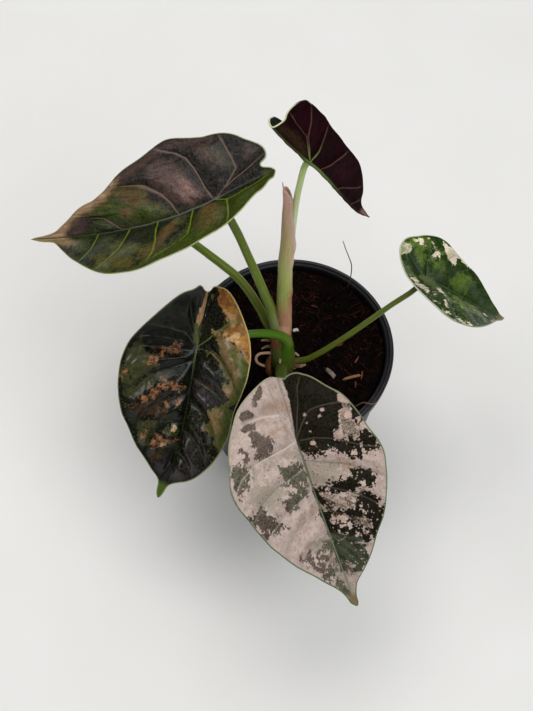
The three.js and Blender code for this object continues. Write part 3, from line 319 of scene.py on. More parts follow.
# Patches of colour on each blade, in the same two distances.
PATCHES = {
    "c": {
        # painted shade: tan in the folds beside the side veins
        "tan": [
            [(-20.06, 10.81), (-19.04, 4.43), (-17.91, -0.79), (-14.66, -2.53), (-11.49, -1.01), (-13.56, 2.8), (-15.29, 8.43), (-15.9, 13.36)],
            [(-7.79, 13.26), (-8.35, 7.87), (-6.77, 4.27), (-5.93, 8.77), (-4.14, 13.06)],
            [(30.94, 12.97), (29.7, 8.6), (29.69, 3.59), (31.59, 0.52), (32.26, 5.23), (32.45, 9.76)],
            [(44.84, 16.65), (42.65, 12.41), (42.67, 6.79), (44.27, 2.9), (44.69, 7.64), (45.53, 12.51), (47.15, 15.97)],
            [(11.38, -14.41), (13.17, -18.51), (15.99, -21.35), (19.53, -22.05), (21.63, -18.48), (19.65, -15.37), (15.71, -14.83)],
            [(-15.66, 15.49), (-13.84, 11.04), (-11.99, 13.77), (-12.72, 17.57)],
        ],
        "sage": [
            [(9.46, 0.39), (10.55, -4.45), (12.97, -9.21), (15.85, -13.84), (19.65, -13.96), (21.94, -10.84), (22.16, -5.64), (21.8, -1.55), (17.96, -0.01), (13.62, 0.4)],
            [(3.61, 8.19), (3.37, 4.92), (4.47, 1.63), (6.8, 1.47), (7.24, 5.37), (6.26, 8.17)],
            [(5.31, 25.29), (6.97, 23.95), (10.26, 25.29), (8.94, 26.77)],
            [(11.91, 28.99), (12.27, 23.07), (15.49, 17.7), (18.96, 14.4), (22.4, 16.9), (23.25, 23.54), (20.47, 28.53), (15.24, 31.38)],
            [(0.94, 18), (3.34, 14.34), (5.31, 16.15), (4.89, 20.07), (2.85, 21.29)],
            [(18.89, 5.75), (19.84, 1.23), (21.86, 3.13), (22.02, 7.04), (20.06, 9.5)],
            [(44.9, 10), (44.58, 4.17), (47.09, 2.35), (50.14, 4.2), (49.26, 8.43)],
            [(52.46, 2.85), (56.13, -0.15), (61.5, -0.29), (68.84, 0.23), (75.4, 0.42), (73.39, 1.94), (65.75, 3.62), (59.45, 5.16)],
            [(60.63, -5.37), (62.24, -8.63), (66.4, -8.25), (67.72, -4.05), (63.58, -3)],
        ],
        "mixlight": [
            [(-9.39, -24.15), (-8.45, -25.74), (-6.56, -27.49), (-3.83, -27.52), (-1.5, -26.26), (0.54, -28.44), (4.06, -29.2), (6.59, -26.91), (7.71, -24.63), (6.45, -22.19), (3.39, -21.32), (0.62, -19.87), (0.92, -17.89), (-3.35, -20.24), (-6.57, -21.55)],
            [(23.01, 0.35), (24.74, -4.76), (27.8, -9.78), (31.94, -14.96), (35.58, -17.04), (36.9, -13.74), (35.47, -9.51), (35.12, -5.42), (33.87, -1.63), (30.56, 0.65), (26.68, 0.72)],
            [(27.76, -15.44), (27.91, -18.7), (29.82, -21.4), (32.44, -21.94), (33.56, -19.63), (32.52, -16.65), (30.35, -14.55)],
            [(38.52, -12.72), (39.55, -17.11), (43.14, -20.21), (46.74, -20.44), (48.51, -16.96), (45.5, -14.15), (42.67, -11.78)],
            [(49.52, 1.64), (53.21, -0.68), (57.11, -2.74), (60.97, -4.79), (63.88, -7.16), (66.95, -3.34), (65.35, -0.47), (59.05, 0.39), (54.35, 1.33)],
            [(50.31, 6.58), (51.46, 1.86), (55.7, 0.75), (61.7, 1.41), (60.02, 4.22), (55.67, 7.08), (53.36, 10.15)],
        ],
        "brown": [
            [(-27.37, 9.68), (-24.92, 9.03), (-22.77, 10.85), (-21.57, 12.83), (-19.28, 14.17), (-19.84, 16), (-21.86, 15.27), (-24.81, 13.18), (-26.56, 11.51)],
            [(-18.94, 21.86), (-18.92, 18.86), (-17.28, 16.42), (-14.61, 17.9), (-13.96, 20.15), (-12.74, 19.08), (-12.98, 16.97), (-10.71, 18.3), (-10.61, 20.86), (-10.51, 23.39), (-12.13, 24.3), (-13.04, 21.49), (-14.53, 23.44), (-17.21, 23.48), (-18.28, 22.6)],
            [(-10.61, 20.86), (-9.36, 18.29), (-7.19, 17.05), (-6.21, 15.37), (-5.49, 13.07), (-3.15, 11.36), (-0.48, 12.85), (1.54, 14.66), (2.34, 17.53), (2.62, 20.69), (0.23, 21.76), (-2.01, 20.45), (-3.78, 21.81), (-6.46, 21.85), (-8.75, 22.03)],
            [(-4.27, 27.61), (-2.91, 26.11), (-0.75, 24.9), (1.5, 25.76), (2.06, 27.97), (-0, 28.14), (-1.86, 26.99), (-3.21, 28.48)],
            [(48.77, 16.65), (47.31, 13.82), (48.54, 11.53), (51.5, 11.64), (53.45, 13.59), (50.71, 15.8)],
            [(55.02, 10.84), (53.48, 9.06), (54.98, 7.38), (57.34, 7.78), (57.63, 10.78), (55.46, 12.73)],
            [(49.9, 6.4), (50.97, 4.54), (52.77, 5.87), (52.66, 8.71), (50.79, 10.21)],
        ],
        "olive": [
            [(1.21, 35), (0.67, 31.36), (2.51, 29.14), (4.53, 26.48), (6.84, 26.91), (8.23, 28.97), (10.61, 30.45), (12.7, 32.81), (11.76, 34.4), (8.49, 34.53), (6.32, 35.11), (5.09, 36.56)],
            [(8.75, 12.33), (8.75, 8.63), (9.49, 4.12), (11.25, 0.55), (13.33, 2.41), (15.99, 0.27), (17.88, 2.6), (18.11, 6.52), (17.76, 10.7), (14.94, 12.21), (11.97, 13.11)],
            [(18.29, 3.86), (20.24, 1.39), (22.65, 3.45), (24.39, 6.93), (26.09, 10.38), (27.79, 13.81), (25.26, 15.43), (22.59, 16.44), (21.05, 13.67), (19.68, 10.42), (18.7, 7.3)],
            [(21.96, 33.7), (22.19, 30.77), (20.8, 27.65), (21.84, 26.04), (24.05, 25.94), (25.13, 24.33), (27.55, 22.75), (29.45, 20.39), (32.15, 20.47), (32.9, 22.91), (31.36, 25.4), (30.63, 28.21), (31.96, 29.29), (29.73, 30.4), (26.03, 30.87), (23.92, 33.02)],
            [(58.87, 9.57), (57.48, 6.67), (58.33, 3.52), (61.44, 1.88), (63.44, 3.86), (63.26, 6.72), (64.37, 8.35), (62.8, 10.04), (60.27, 10.73)],
            [(66.27, 6.19), (67.21, 3.03), (71.31, 1.72), (75.87, 0.59), (78.47, 0.97), (75.32, 3.28), (70.51, 5.54)],
            [(46.42, 2.65), (49.12, 0.39), (51.95, 0.94), (51.24, 4.07), (50.72, 6.75), (48.53, 5.25)],
        ],
        "greygreen": [
            [(42.89, 0.66), (44.64, -4.07), (46.49, -8.15), (47.32, -12.12), (50.18, -14.49), (52.77, -16.01), (52.79, -13.14), (51.76, -10.16), (55.1, -12.38), (58.98, -13.02), (62.63, -11.36), (65.03, -10.59), (66.74, -7.67), (64.09, -6.15), (60.97, -4.79), (59.15, -2.54), (63.77, -1.98), (63.79, 0.54), (59.26, 1.02), (54.15, 0.7), (50.41, -0.18), (46.1, 0.3)],
        ],
        "dark": [
            [(-26.95, -2.38), (-27.69, -5.87), (-27.6, -9.09), (-25.74, -12.2), (-22.71, -15.4), (-19.15, -18.91), (-16.38, -21.28), (-13.81, -23.02), (-10.87, -22.28), (-9.73, -23.79), (-7.34, -23.46), (-6.63, -21.34), (-3.28, -20.46), (-1.01, -18.99), (0.79, -17.46), (3.03, -15.79), (5.23, -16.93), (6.05, -19.49), (5.48, -22.04), (7.43, -22.34), (7.99, -25.49), (11.1, -26.36), (14.07, -26.79), (15.17, -24.5), (14.86, -20.79), (12.75, -18.66), (10.66, -17.95), (8.86, -15.26), (7.37, -12.01), (7.83, -9.07), (8.59, -5.57), (6.98, -3.32), (5.35, -1.06), (2.74, -0.03), (0, 0), (-5.2, -0.8), (-10.82, -1.73), (-18.21, -2.77), (-23.68, -2.7)],
            [(4.77, -28.48), (4.63, -30.94), (6.63, -32.7), (10.93, -34.18), (13.94, -34.62), (14.45, -32), (13.39, -28.96), (11.24, -26.79), (8.56, -25.78)],
            [(-8.74, -27.74), (-6.44, -29.36), (-3.85, -30.41), (-0.85, -31.31), (0.54, -29.88), (0.27, -27.57), (-2.32, -26.54), (-4.65, -27.8)],
            [(23.07, -2.53), (23.16, -5.76), (22.66, -10.13), (22.34, -14.93), (22.06, -18.33), (20.08, -19.48), (20.25, -22.76), (22.02, -26.48), (25.47, -26.75), (29.21, -26.43), (29.02, -24.56), (26.41, -24.01), (25.65, -21.87), (27.63, -19.28), (28.48, -16.14), (29.06, -12.16), (26.66, -9.23), (24.93, -6.09)],
            [(33.1, -16.93), (31.68, -19.8), (32.31, -22.94), (34.12, -25.23), (37.81, -25.91), (39.67, -24.29), (40.38, -27.47), (43.18, -27), (44.29, -24.66), (47.01, -25.2), (49.99, -23.71), (53.58, -21.05), (55.08, -18.13), (52.62, -17.02), (49.28, -19.1), (45.43, -22.33), (42.28, -21.95), (40.17, -20.25), (38.22, -17.56), (35.43, -16.61)],
            [(32.61, 0.39), (34.74, -2.75), (35.67, -7.11), (36.02, -12.62), (38.22, -17.56), (41.08, -21.39), (45.14, -22.91), (47.64, -20.13), (43.72, -19.05), (41.46, -15.51), (38.96, -12.57), (41.8, -10.66), (42.44, -8.1), (41.33, -4.72), (37.06, -3.83), (37.52, -0.82), (35.74, 1.08)],
            [(37.18, 0.05), (39.74, -2.92), (42.65, -5.68), (44.05, -9.91), (44.75, -13.45), (46.85, -16.56), (47.76, -13.39), (46.31, -9.15), (44.92, -4.92), (43.63, -1.1), (41.18, 0)],
            [(22.19, 0.04), (24.64, -1.51), (28.36, -2.59), (31.49, -4.79), (31.82, -2.81), (28.21, -0.73), (25.44, 0.24)],
            [(47.31, -13.54), (49.72, -16.07), (52.16, -17.18), (51.85, -14.88), (49.13, -12.93)],
        ],
        "bright": [
            [(-13.74, -23.24), (-11.85, -24.98), (-9.01, -26.88), (-9.39, -24.15), (-10.81, -22.49)],
            [(-5.71, -24.34), (-5.46, -26.64), (-2.39, -26.32), (-2.16, -24.1), (-4.2, -23.36)],
            [(1.21, -17.32), (1.59, -20.02), (4.79, -19.91), (4.95, -17.5), (2.81, -16.56)],
            [(-1.45, -27.91), (-1.52, -29.14), (-0.03, -29.59), (0.48, -28.22)],
            [(37.44, -6.51), (37.83, -9.19), (40.31, -10.69), (41.68, -8.82), (40.4, -6.44), (38.37, -4.79)],
            [(42.06, -15.79), (42.22, -17.64), (43.86, -18.04), (44.15, -16.03)],
            [(-9.94, -6.09), (-10.1, -7.07), (-9.14, -7.22), (-8.99, -6.24)],
            [(-8.01, -12.42), (-8.16, -13.4), (-6.8, -13.42), (-6.64, -12.43)],
            [(-6.18, -5.79), (-6, -7.12), (-5.1, -6.36)],
            [(-2.29, -5.9), (-2.19, -7.72), (-1.03, -7.81), (-1.13, -5.99)],
            [(2.4, -4.84), (2.5, -6.66), (3.59, -7.23), (3.69, -5.34)],
            [(11.49, -20.5), (11.92, -23.21), (13.54, -23.14), (13.45, -20.79)],
            [(36.92, -3.41), (36.45, -4.97), (38.37, -4.79), (38.4, -3.37)],
            [(-9.81, -13.94), (-10.03, -15.42), (-8.87, -15.5), (-8.65, -14.03)],
        ],
    },
    "b": {
        "orange": [
            [(-27.71, -5.76), (-27.95, -9.13), (-26.31, -13.43), (-23.33, -17.43), (-19.42, -21.03), (-15.46, -24.08), (-10.65, -27.29), (-5.69, -29.44), (-0.62, -30.8), (3.9, -30.78), (1.79, -28.67), (-1.17, -26.11), (-4.17, -22.74), (-6.79, -18.31), (-8.43, -14.61), (-9.12, -10.51), (-10.59, -14.13), (-12.35, -15.42), (-14.54, -15.21), (-16.28, -13.42), (-18.06, -11.9), (-20.07, -10.33), (-21.6, -8.56), (-23.3, -7.9), (-25.11, -8.06)],
        ],
        "rust": [
            [(-27.36, -8.12), (-26.87, -11.06), (-24.35, -12.19), (-21.56, -14.49), (-20.3, -11.97), (-22.15, -9.29), (-24.68, -8.16)],
            [(-21.44, -10.58), (-22.51, -14.84), (-21.1, -17.37), (-19.33, -14.43)],
            [(-10.95, -20.7), (-9.73, -24.24), (-6.65, -24.37), (-7.08, -21.55)],
            [(-4.68, -23.17), (-2.37, -28.01), (1.2, -29.88), (-0.92, -27.25)],
        ],
        "peachlight": [
            [(-18.14, -12.45), (-17.84, -16.42), (-14.73, -19.32), (-11.82, -17.76), (-13.04, -14.15), (-15.36, -14.75)],
            [(-8.91, -7.71), (-9.17, -12.2), (-8.12, -16.91), (-6.23, -21.74), (-4.77, -23.7), (-6.23, -18.99), (-7.61, -13.67), (-7.78, -9.11)],
            [(-8.72, -17.89), (-9.4, -22.14), (-5.88, -25.08), (-4.94, -22.02)],
        ],
        "olive": [
            [(-8.47, -7.81), (-8.73, -12.3), (-7.69, -17), (-5.63, -20.77), (-3.06, -24.07), (-0.49, -27.34), (3.16, -30.34), (8.69, -31.08), (13.31, -30), (17.7, -28.32), (20.09, -26.7), (21.33, -23.1), (20.12, -21.13), (18.04, -22.87), (16.41, -20.81), (14.36, -18.65), (11.94, -18.1), (12.2, -20.96), (13.58, -22.38), (10.31, -19.96), (8.91, -18.53), (6.47, -15.73), (3.99, -12.9), (2.48, -9.14), (1.11, -4.21), (0.4, -5.79), (0.61, -9.85), (1.32, -13.42), (-0.62, -14.67), (-2.69, -13.64), (-4.58, -11.53), (-6.39, -8.85)],
            [(38.48, 19.99), (36.48, 15.61), (35.42, 10.15), (35.27, 6.43), (37.56, 10.68), (40.61, 12.92), (44.99, 13.44), (50.17, 14.2), (51.34, 16.34), (48.63, 18.9), (44.39, 19.8), (41.49, 21.34)],
            [(25.2, -13.19), (22.1, -18.21), (21.72, -23.2), (22.79, -25.7), (27.74, -25.84), (32.87, -25.55), (36.26, -24.24), (40.87, -22.19), (38.59, -18.56), (35.94, -17.19), (34.81, -13.92), (33.72, -11.84), (31.32, -13.57), (28.5, -14.01)],
            [(1.16, 25.92), (2.62, 24.23), (5.25, 24.23), (5.59, 20.87), (6.38, 17.45), (9.35, 16.48), (11.55, 16.11), (13.91, 19.46), (16.61, 21.83), (19.66, 23.23), (21.93, 25.23), (21.91, 27.63), (22.08, 30.97), (20.12, 33.23), (15.88, 33.43), (11.59, 32.68), (7.33, 31.49), (3.45, 29.31)],
            [(40.87, 9.08), (37.23, 6.06), (37.16, 2.79), (39.8, 0.81), (42.64, 2.1), (42.35, 5.95)],
            [(22.93, 30.35), (22.29, 27.09), (19.2, 23.3), (15.25, 19.23), (13.49, 13.92), (14.15, 9.17), (15.77, 10.76), (17.82, 15.07), (21.78, 19.1), (25.25, 22.31), (28.09, 26.61), (26.76, 29.73)],
        ],
        "tanpatch": [
            [(2.28, 13.99), (1.14, 12.34), (-0.53, 10.32), (-1.64, 7.75), (-0.26, 6.57), (1.2, 7.24), (2.43, 6.55), (3.59, 8.2), (4.01, 10.9), (5.01, 14.43), (6.45, 15.11), (5.08, 17.68)],
            [(28.99, 21.21), (26.11, 21.69), (23.18, 18.87), (19.87, 16.13), (16.63, 13.4), (15.92, 10.27), (16.59, 6.92), (17.56, 3.99), (18.66, 1.94), (20.3, 3.53), (21.08, 2.46), (21.81, 4.2), (20.82, 7.14), (20.77, 9.93), (20.66, 12.27), (23.33, 14.15), (25.67, 16.57), (27.98, 18.54)],
            [(28.6, 10.92), (25.87, 9.06), (24.62, 5.57), (24.31, 1.9), (25.85, 2.57), (27.17, 6.52), (29.32, 9.39)],
            [(49.29, 12.96), (45.82, 12.3), (43.87, 10.82), (42.11, 7.41), (43.68, 4.72), (42.54, 1.65), (44.13, -0.22), (46.01, 3.24), (46.58, 5.96), (48.72, 8.32), (50.53, 11.23)],
            [(41.55, 19.4), (40.9, 16.66), (44.39, 15.47), (45.6, 18.1)],
            [(7.75, 20.49), (6.38, 17.45), (8.77, 15.64), (11.33, 17.54), (10.44, 20.5)],
            [(15.71, 32.49), (14.74, 29.75), (17.09, 29.85), (19.47, 32.36)],
        ],
        # painted highlights: small pale glints on the pillows
        "palehi": [
            [(47.16, 8.67), (46, 7.04), (47.5, 5.27), (49.03, 7.29)],
            [(37.48, 4.6), (37.65, 2.69), (39.69, 2.74), (39.53, 4.66)],
            [(21.15, 6.16), (19.84, 3.6), (21.22, 3.37)],
            [(-17.35, 1.78), (-17.22, -0.16), (-14.08, -0.28), (-12.09, 0.82), (-12.81, 1.89)],
        ],
        "brown": [
            [(32.23, 26.88), (29.74, 24.9), (29.08, 21.67), (26.77, 17.33), (24.73, 13.92), (24.83, 11.57), (28.12, 11), (30.61, 8.23), (33.47, 10.51), (35.49, 15.79), (35.96, 20.46), (34.08, 23.67)],
            [(2.75, 22.32), (2.29, 16.78), (3.22, 14.29), (5.08, 17.68), (5.16, 20.95)],
            [(55.17, 11.53), (50.49, 8.85), (49.98, 4.2), (55.56, 6.6), (59.83, 9.29)],
            [(16.6, -5.31), (14.99, -11.96), (15.4, -17.76), (17.73, -20.56), (16.7, -15.79), (17.03, -8.93)],
        ],
        # partly the leaf's purple tone, partly painted sheen on the pillows
        "purple": [
            [(11.93, -1.94), (10.71, -7.52), (11.21, -13.4), (13.15, -18.37), (16.69, -21.44), (20.91, -21.32), (23.45, -17.96), (23.75, -10.49), (22.48, -5.45), (19.19, -2.33)],
            [(39.86, -0.79), (40.45, -8.92), (44.49, -16.27), (50.74, -16.05), (49.94, -9.56), (45.47, -4.27)],
            [(53.31, 11.04), (51.74, 4.72), (56.99, 3.31), (60.39, 7.18)],
            [(62.05, 4.73), (51.33, -8.81), (50.84, -17.92), (58.91, -11.88), (66.96, -1.17)],
        ],
        # painted highlight: the pale line along the fold at the edge of the orange lobe
        "seam": [
            [(-24.82, 0.32), (-25.01, -0.95), (-20.96, -1), (-17.3, -0.68), (-14.12, -0.54), (-11.29, 0.19), (-8.42, 1.09), (-4.83, 0.9), (-2.92, 1.49), (-5.92, 2.5), (-9.51, 2.69), (-12.73, 2.34), (-16.03, 1.54), (-19.77, 0.81), (-22.55, 0.38)],
        ],
        "oliveseam": [
            [(-10.82, 2.92), (-10.25, 0.95), (-5.79, 0.6), (-1.92, -0.68), (-1.16, 1.17), (-4.96, 2.79)],
        ],
        "speck": [
            [(-23.76, -3.21), (-23.56, -4.98), (-20.69, -5.34), (-20.92, -3.85)],
            [(-13.44, -12.37), (-13.39, -13.51), (-11.71, -14.16), (-11.97, -12.98)],
        ],
        "mid": [
            [(-13.15, 13.06), (-14.67, 6.85), (-8.69, 4.85), (-6.02, 9.92), (-8.91, 14.15)],
            [(-20.54, 4.21), (-12.57, -2.28), (-8.91, -7.71), (-2.04, -6.96), (-3.32, -0.93)],
            [(-12.2, 21.29), (-17.21, 15.65), (-16.67, 10.91), (-11.69, 13.72), (-7.99, 19.58)],
        ],
    },
    "a": {
        "lime": [
            [(-6.44, -5.45), (-11.09, -3.49), (-17.03, -3.02), (-21.24, -1.7), (-22.78, 2.1), (-24.59, 2.09), (-28.34, -0.03), (-26.61, -7.86), (-20.28, -14.8), (-14.59, -19.08), (-8.77, -24.67), (-3.97, -28.43), (3.14, -30.04), (9.91, -31.58), (16.7, -33.11), (23.67, -33.92), (29.03, -34.94), (35.12, -32.93), (31.64, -30.55), (27.32, -28.68), (23.63, -28), (21.12, -23.95), (18.29, -22.21), (15.33, -21.36), (13.03, -16.96), (11.5, -11.62), (8.53, -7.17), (4.35, -3.67), (-0.06, -4.47), (-3.7, -5.45)],
            [(69.02, -11.06), (60.74, -16.39), (50.65, -23.71), (42.82, -28.37), (35.4, -31.56), (34.86, -34.28), (43.74, -31.27), (56.95, -22.42), (68.46, -13.94)],
            [(75.26, -0.49), (68.55, -2.47), (67.94, -5.44), (73.33, -4.1)],
        ],
        "olivetan": [
            [(48.39, 19.77), (41.06, 19.69), (32.85, 18.28), (29.55, 14.78), (28.63, 10.97), (26.02, 8.52), (22.15, 5.67), (25.13, 3.43), (30.3, 2.12), (36.37, 1.25), (42.99, 1.17), (48.12, 2.43), (51.61, 5.1), (57.44, 7.54), (62.47, 8.06), (67.65, 7.63), (68.74, 9.05), (65.76, 11.02), (59.96, 12.68), (54.76, 15.21), (50.72, 17.83)],
            [(32.14, -18.84), (27.53, -18.89), (24.24, -14.76), (20.41, -8.4), (16.62, -5.07), (17.37, -16.82), (20.49, -22.93), (23.53, -28.72), (27.21, -29.39)],
            [(51.93, -18.05), (46.18, -18.1), (38.41, -22.57), (31.17, -24.81), (29.85, -32.01), (37.31, -30.2), (45.61, -24.97)],
            [(5.58, -0.16), (0.82, -4.48), (-3.45, -12.18), (-1.96, -21.6), (4.3, -24.95), (7.95, -18.13)],
        ],
        "green": [
            [(53.24, 11.9), (45.43, 13), (33.88, 10.84), (24.48, 6.34), (20.47, 2.5), (23.69, 0.75), (30.42, 1.24), (40.4, 1.6), (47.56, 2.79), (53.6, 7.1), (61.31, 8.39)],
            [(66.87, -1.3), (62.86, 1.47), (57.86, 1.88), (58.34, 0.08), (62.11, -1.91), (64.03, -4.5)],
            [(30.42, 1.24), (20.66, 1.66), (15.85, 1.86), (17.98, 0.75), (25.67, -0.1), (31.48, 0.1)],
            [(56.96, 6.61), (50.54, 4.96), (47.6, 2.35), (54.04, 1.89), (60.51, 3.91)],
        ],
        "russet": [
            [(41.02, 13.59), (34.78, 11.92), (31, 9.31), (35.29, 8.5), (40.25, 10.78)],
            [(43.7, 8.74), (38.41, 8.68), (36.76, 5.73), (42, 5.4)],
            [(21.65, -10.86), (17.14, -7.26), (15.77, -4.82), (16.28, -12.85), (19.54, -18.4)],
            [(4.35, -1.84), (-0.01, -6.45), (1.04, -14.91), (4.63, -9.11)],
            [(23.47, -14.44), (20.98, -14.42), (21.44, -21.61), (23.48, -21.1)],
        ],
        # partly the leaf's own pink, partly painted sheen of a softbox on the upper half
        "pink": [
            [(21.21, 27.66), (13.85, 23.44), (8.6, 16.71), (5.39, 9.71), (2.95, 3.49), (7.79, 3.31), (12.86, 3.95), (18.84, 5.11), (23.63, 10.1), (27.41, 17.91), (27.57, 24.5)],
            [(-0.8, 24.8), (-5.16, 23.87), (-8.25, 19.54), (-10.48, 13.33), (-7.99, 11.73), (-4.17, 13.78), (-1.65, 18.13)],
            [(-18.91, 13.68), (-21.82, 14.06), (-22.35, 10.86), (-19.55, 8.51), (-17.46, 10.09)],
            [(31.82, 29.34), (21.78, 31.8), (9.5, 32.14), (-3.74, 27.89), (-9.73, 24.91), (-3.28, 26.55), (9.49, 30.04), (19.72, 29.22), (28.7, 24.78), (43.8, 21.32), (46.05, 22.62)],
            [(75.31, 6.86), (67.08, 7.59), (62.61, 5.87), (65.12, 1.67), (69.59, 0.17), (74.35, 2.35)],
        ],
        # painted sheen: small bright pink glints on the pillows
        "pinkbright": [
            [(12.82, 15.4), (9.29, 13.16), (6.32, 7.3), (6.53, 4.16), (9.63, 6.35), (11.98, 11.37)],
            [(13.42, 10.04), (10.37, 7.09), (9.88, 2.79), (12.65, 6.13)],
        ],
        "darkhole": [
            [(8.12, 16.52), (3.82, 12.36), (2.9, 9.57), (5.96, 10.89), (8.07, 13.63)],
            [(-2.18, 15.84), (-5.22, 11.75), (-8.86, 9.34), (-6.04, 7), (-1.9, 8.19), (-0.9, 12.58)],
            [(28, 14.41), (23.53, 10.52), (19.64, 5.8), (24.1, 8), (28.63, 10.97)],
            [(-15.18, 14.72), (-16.11, 11.29), (-13.95, 10.51)],
        ],
        # partly grey-green leaf tone, partly painted sheen on the lower half
        "greylight": [
            [(44.32, 3.6), (39.14, 3.57), (36.33, 1.7), (40.43, 1.16)],
            [(55.71, -1.55), (47.23, -6.33), (42.7, -14.92), (46.18, -18.1), (52.1, -11.01)],
            [(63.71, -3.09), (59.24, -5.25), (53.98, -13.45), (55.88, -15.86), (62.49, -9.08)],
            [(-4.38, 21.71), (-9.78, 18.68), (-13.08, 12.91), (-12.22, 8.54), (-8.63, 13.34)],
            [(14.41, 3.61), (6.56, 1.37), (8.59, 0.83), (14.87, 1.96)],
        ],
        # partly pale leaf tone, partly painted sheen with glints on the lower half
        "pale": [
            [(43.76, -14.6), (42.56, -9.15), (38.1, -13.59), (31.69, -17.26), (31.1, -21.41), (34.27, -22.12), (38.41, -22.57), (42.57, -20.52)],
            [(47.11, -21.92), (42.32, -19.91), (41.73, -26.11), (44.04, -28.65), (47.36, -25.16)],
            [(67.66, -4.02), (63.85, -6.71), (60.46, -10.84), (63.23, -9.69)],
            [(-0.56, -15.77), (-2.97, -12.64), (-4.16, -15.75), (-1.72, -18.75)],
            [(15.77, -4.82), (14.06, -4.35), (15.06, -9.62), (16.82, -9.17)],
            [(29.84, 7.28), (25.42, 6.6), (22.19, 3.47), (25.3, 2.59), (28.8, 4.83)],
        ],
        "peach": [
            [(98.12, 0.05), (91.35, 1.88), (83.94, 2.21), (78.99, 4.86), (74.04, 8.56), (68.62, 12.39), (61.03, 15.04), (56.43, 16.32), (51.81, 19.35), (47.77, 22.43), (44.92, 21.97), (47.86, 18.77), (53.65, 14.62), (59.99, 11.8), (65.79, 10.13), (69.38, 7.77), (72.95, 6.7), (74.89, 3.72), (76.11, 1.09), (71.79, -2.82), (65.78, -7.17), (72.34, -5.66), (80.68, -2.72), (85.92, -3.04), (94.38, -2.47)],
        ],
    },
    "d": {
        "cream": [
            [(-16.37, -11), (-14.84, -13.01), (-12.9, -14.17), (-11.25, -13.72), (-9.85, -13.18), (-9.8, -9.45), (-12.5, -8.33), (-14.36, -7), (-15.89, -8.21)],
            [(-9.54, -16.87), (-7.51, -17.84), (-4.88, -18.24), (-3.29, -15.92), (-4.93, -14.08), (-6.23, -15.94), (-8.4, -16.23)],
            [(1.13, -13.87), (2.12, -15.57), (3.71, -14.7), (3.03, -12.6), (1.7, -11.55)],
            [(3.46, -13.03), (4.57, -14.03), (5.34, -12.55), (3.98, -11.46)],
            [(4.34, -22.23), (8.04, -20.79), (12.03, -19.83), (15.7, -19.27), (19.77, -18.05), (23.61, -16.11), (22.95, -14.43), (19.7, -15.27), (17.57, -16.1), (14.95, -16.67), (13.8, -16.35), (13.89, -14.5), (12.99, -11.93), (11.35, -11.41), (9.84, -13.05), (8.5, -14.26), (7.16, -15.74), (6.09, -17.64), (5.6, -19.56)],
            [(-9.07, 0.89), (-6.55, 1.53), (-4.69, 2.56), (-2.98, 2.08), (-5.72, 6.04), (-3.51, 5.68), (-1.44, 5.83), (-0.93, 8.46), (-2.08, 13.44), (-3.76, 13.89), (-5.08, 11.02), (-7.95, 10.1), (-9.49, 6.4)],
            [(0.06, 9.58), (1.99, 8.54), (3.25, 10.68), (0.73, 12.82)],
            [(3.65, 3.4), (5.95, 3.23), (8.15, 5.14), (9.07, 8.27), (8.49, 12.67), (6.6, 11.48), (4.89, 8.08)],
            [(5.49, 13.33), (6.91, 15.2), (6.66, 19.46), (4.76, 20.49), (4.4, 17.38)],
            [(-2.64, 15.63), (0.79, 16.62), (2.53, 18.36), (0.19, 19.12)],
            [(2.4, 21.33), (5.56, 21.86), (7.94, 23.75), (4.48, 24.53), (1.91, 23.67)],
            [(10.06, 17.06), (11.05, 18.67), (9.09, 20.96)],
            [(10.34, 21.66), (12.16, 22.33), (14.16, 23.56), (18.31, 22.97), (23.35, 21.68), (17.68, 25.83), (12.84, 27.48), (9.02, 26.95)],
            [(22.27, 17.36), (25.12, 17.93), (24.22, 20.72), (22.77, 19.57)],
            [(17.91, 1.54), (22.09, 2.52), (20.45, 3.31)],
            [(33.85, 3.53), (36.84, 5.57), (33.59, 7.61)],
            [(36.48, 7.33), (41.81, 5.5), (36.62, 10.65)],
            [(0.37, -18.78), (1.54, -18.75), (1.29, -16.53)],
            [(-2.4, -20.44), (-1.03, -20.13), (-2.03, -19.24)],
        ],
        "pale": [
            [(-15.12, -11.41), (-12.26, -13.37), (-11.32, -10.68), (-14.24, -9.23)],
            [(1.57, -16.13), (4.49, -16.35), (3.98, -12.99), (1.77, -11.07)],
            [(20.05, 9.34), (23.47, 8.01), (21.97, 11.49), (18.98, 12.89)],
            [(-2.69, -0.69), (3.25, -0.12), (6.87, 3.89), (10.98, 8.6), (13.4, 11.76), (8.79, 11.68), (4.7, 6.95), (0.3, 3.64)],
            [(20.45, 3.31), (27.22, 5.67), (30.77, 11.78), (26.27, 10.32), (21, 7.82)],
            [(-14.28, -3.89), (-9.65, -1.46), (-6.42, 0.74), (-10.14, 1.03)],
        ],
        "lime": [
            [(-7.8, -11.85), (-4.38, -14), (-2.13, -9.72), (-2.47, -5.68), (-5.83, -6.56)],
            [(1.61, -9.01), (6.93, -11.19), (9.29, -8.14), (5.06, -7.35)],
            [(13.31, -4.34), (16.69, -9.52), (22.13, -11.08), (25.68, -8.53), (23.3, -3.29), (17.14, -1.98)],
            [(-13.91, -13.83), (-8.11, -18.42), (-0.7, -19.44), (0.56, -16.75), (-5.27, -12.69)],
            [(13.44, 5.19), (19.38, 5.77), (20.95, 14.16), (15.1, 13.7)],
        ],
        "deep": [
            [(-0.61, -4.33), (6.95, -4.12), (12.23, -1.81), (5.44, 0.79), (1.06, -0.38)],
            [(8.42, -11.86), (14.29, -11.51), (13.43, -5.92), (9.53, -7.23)],
            [(24.61, -7.51), (33.31, -7.65), (38.86, -4.61), (31.86, -2.95), (24.78, -2.94)],
            [(-12.83, -7.25), (-7.68, -7.93), (-2.45, -2.78), (-6.39, -0.49), (-10.8, -2.08)],
        ],
        # painted sheen: bluish grey glints near the midrib
        "frost": [
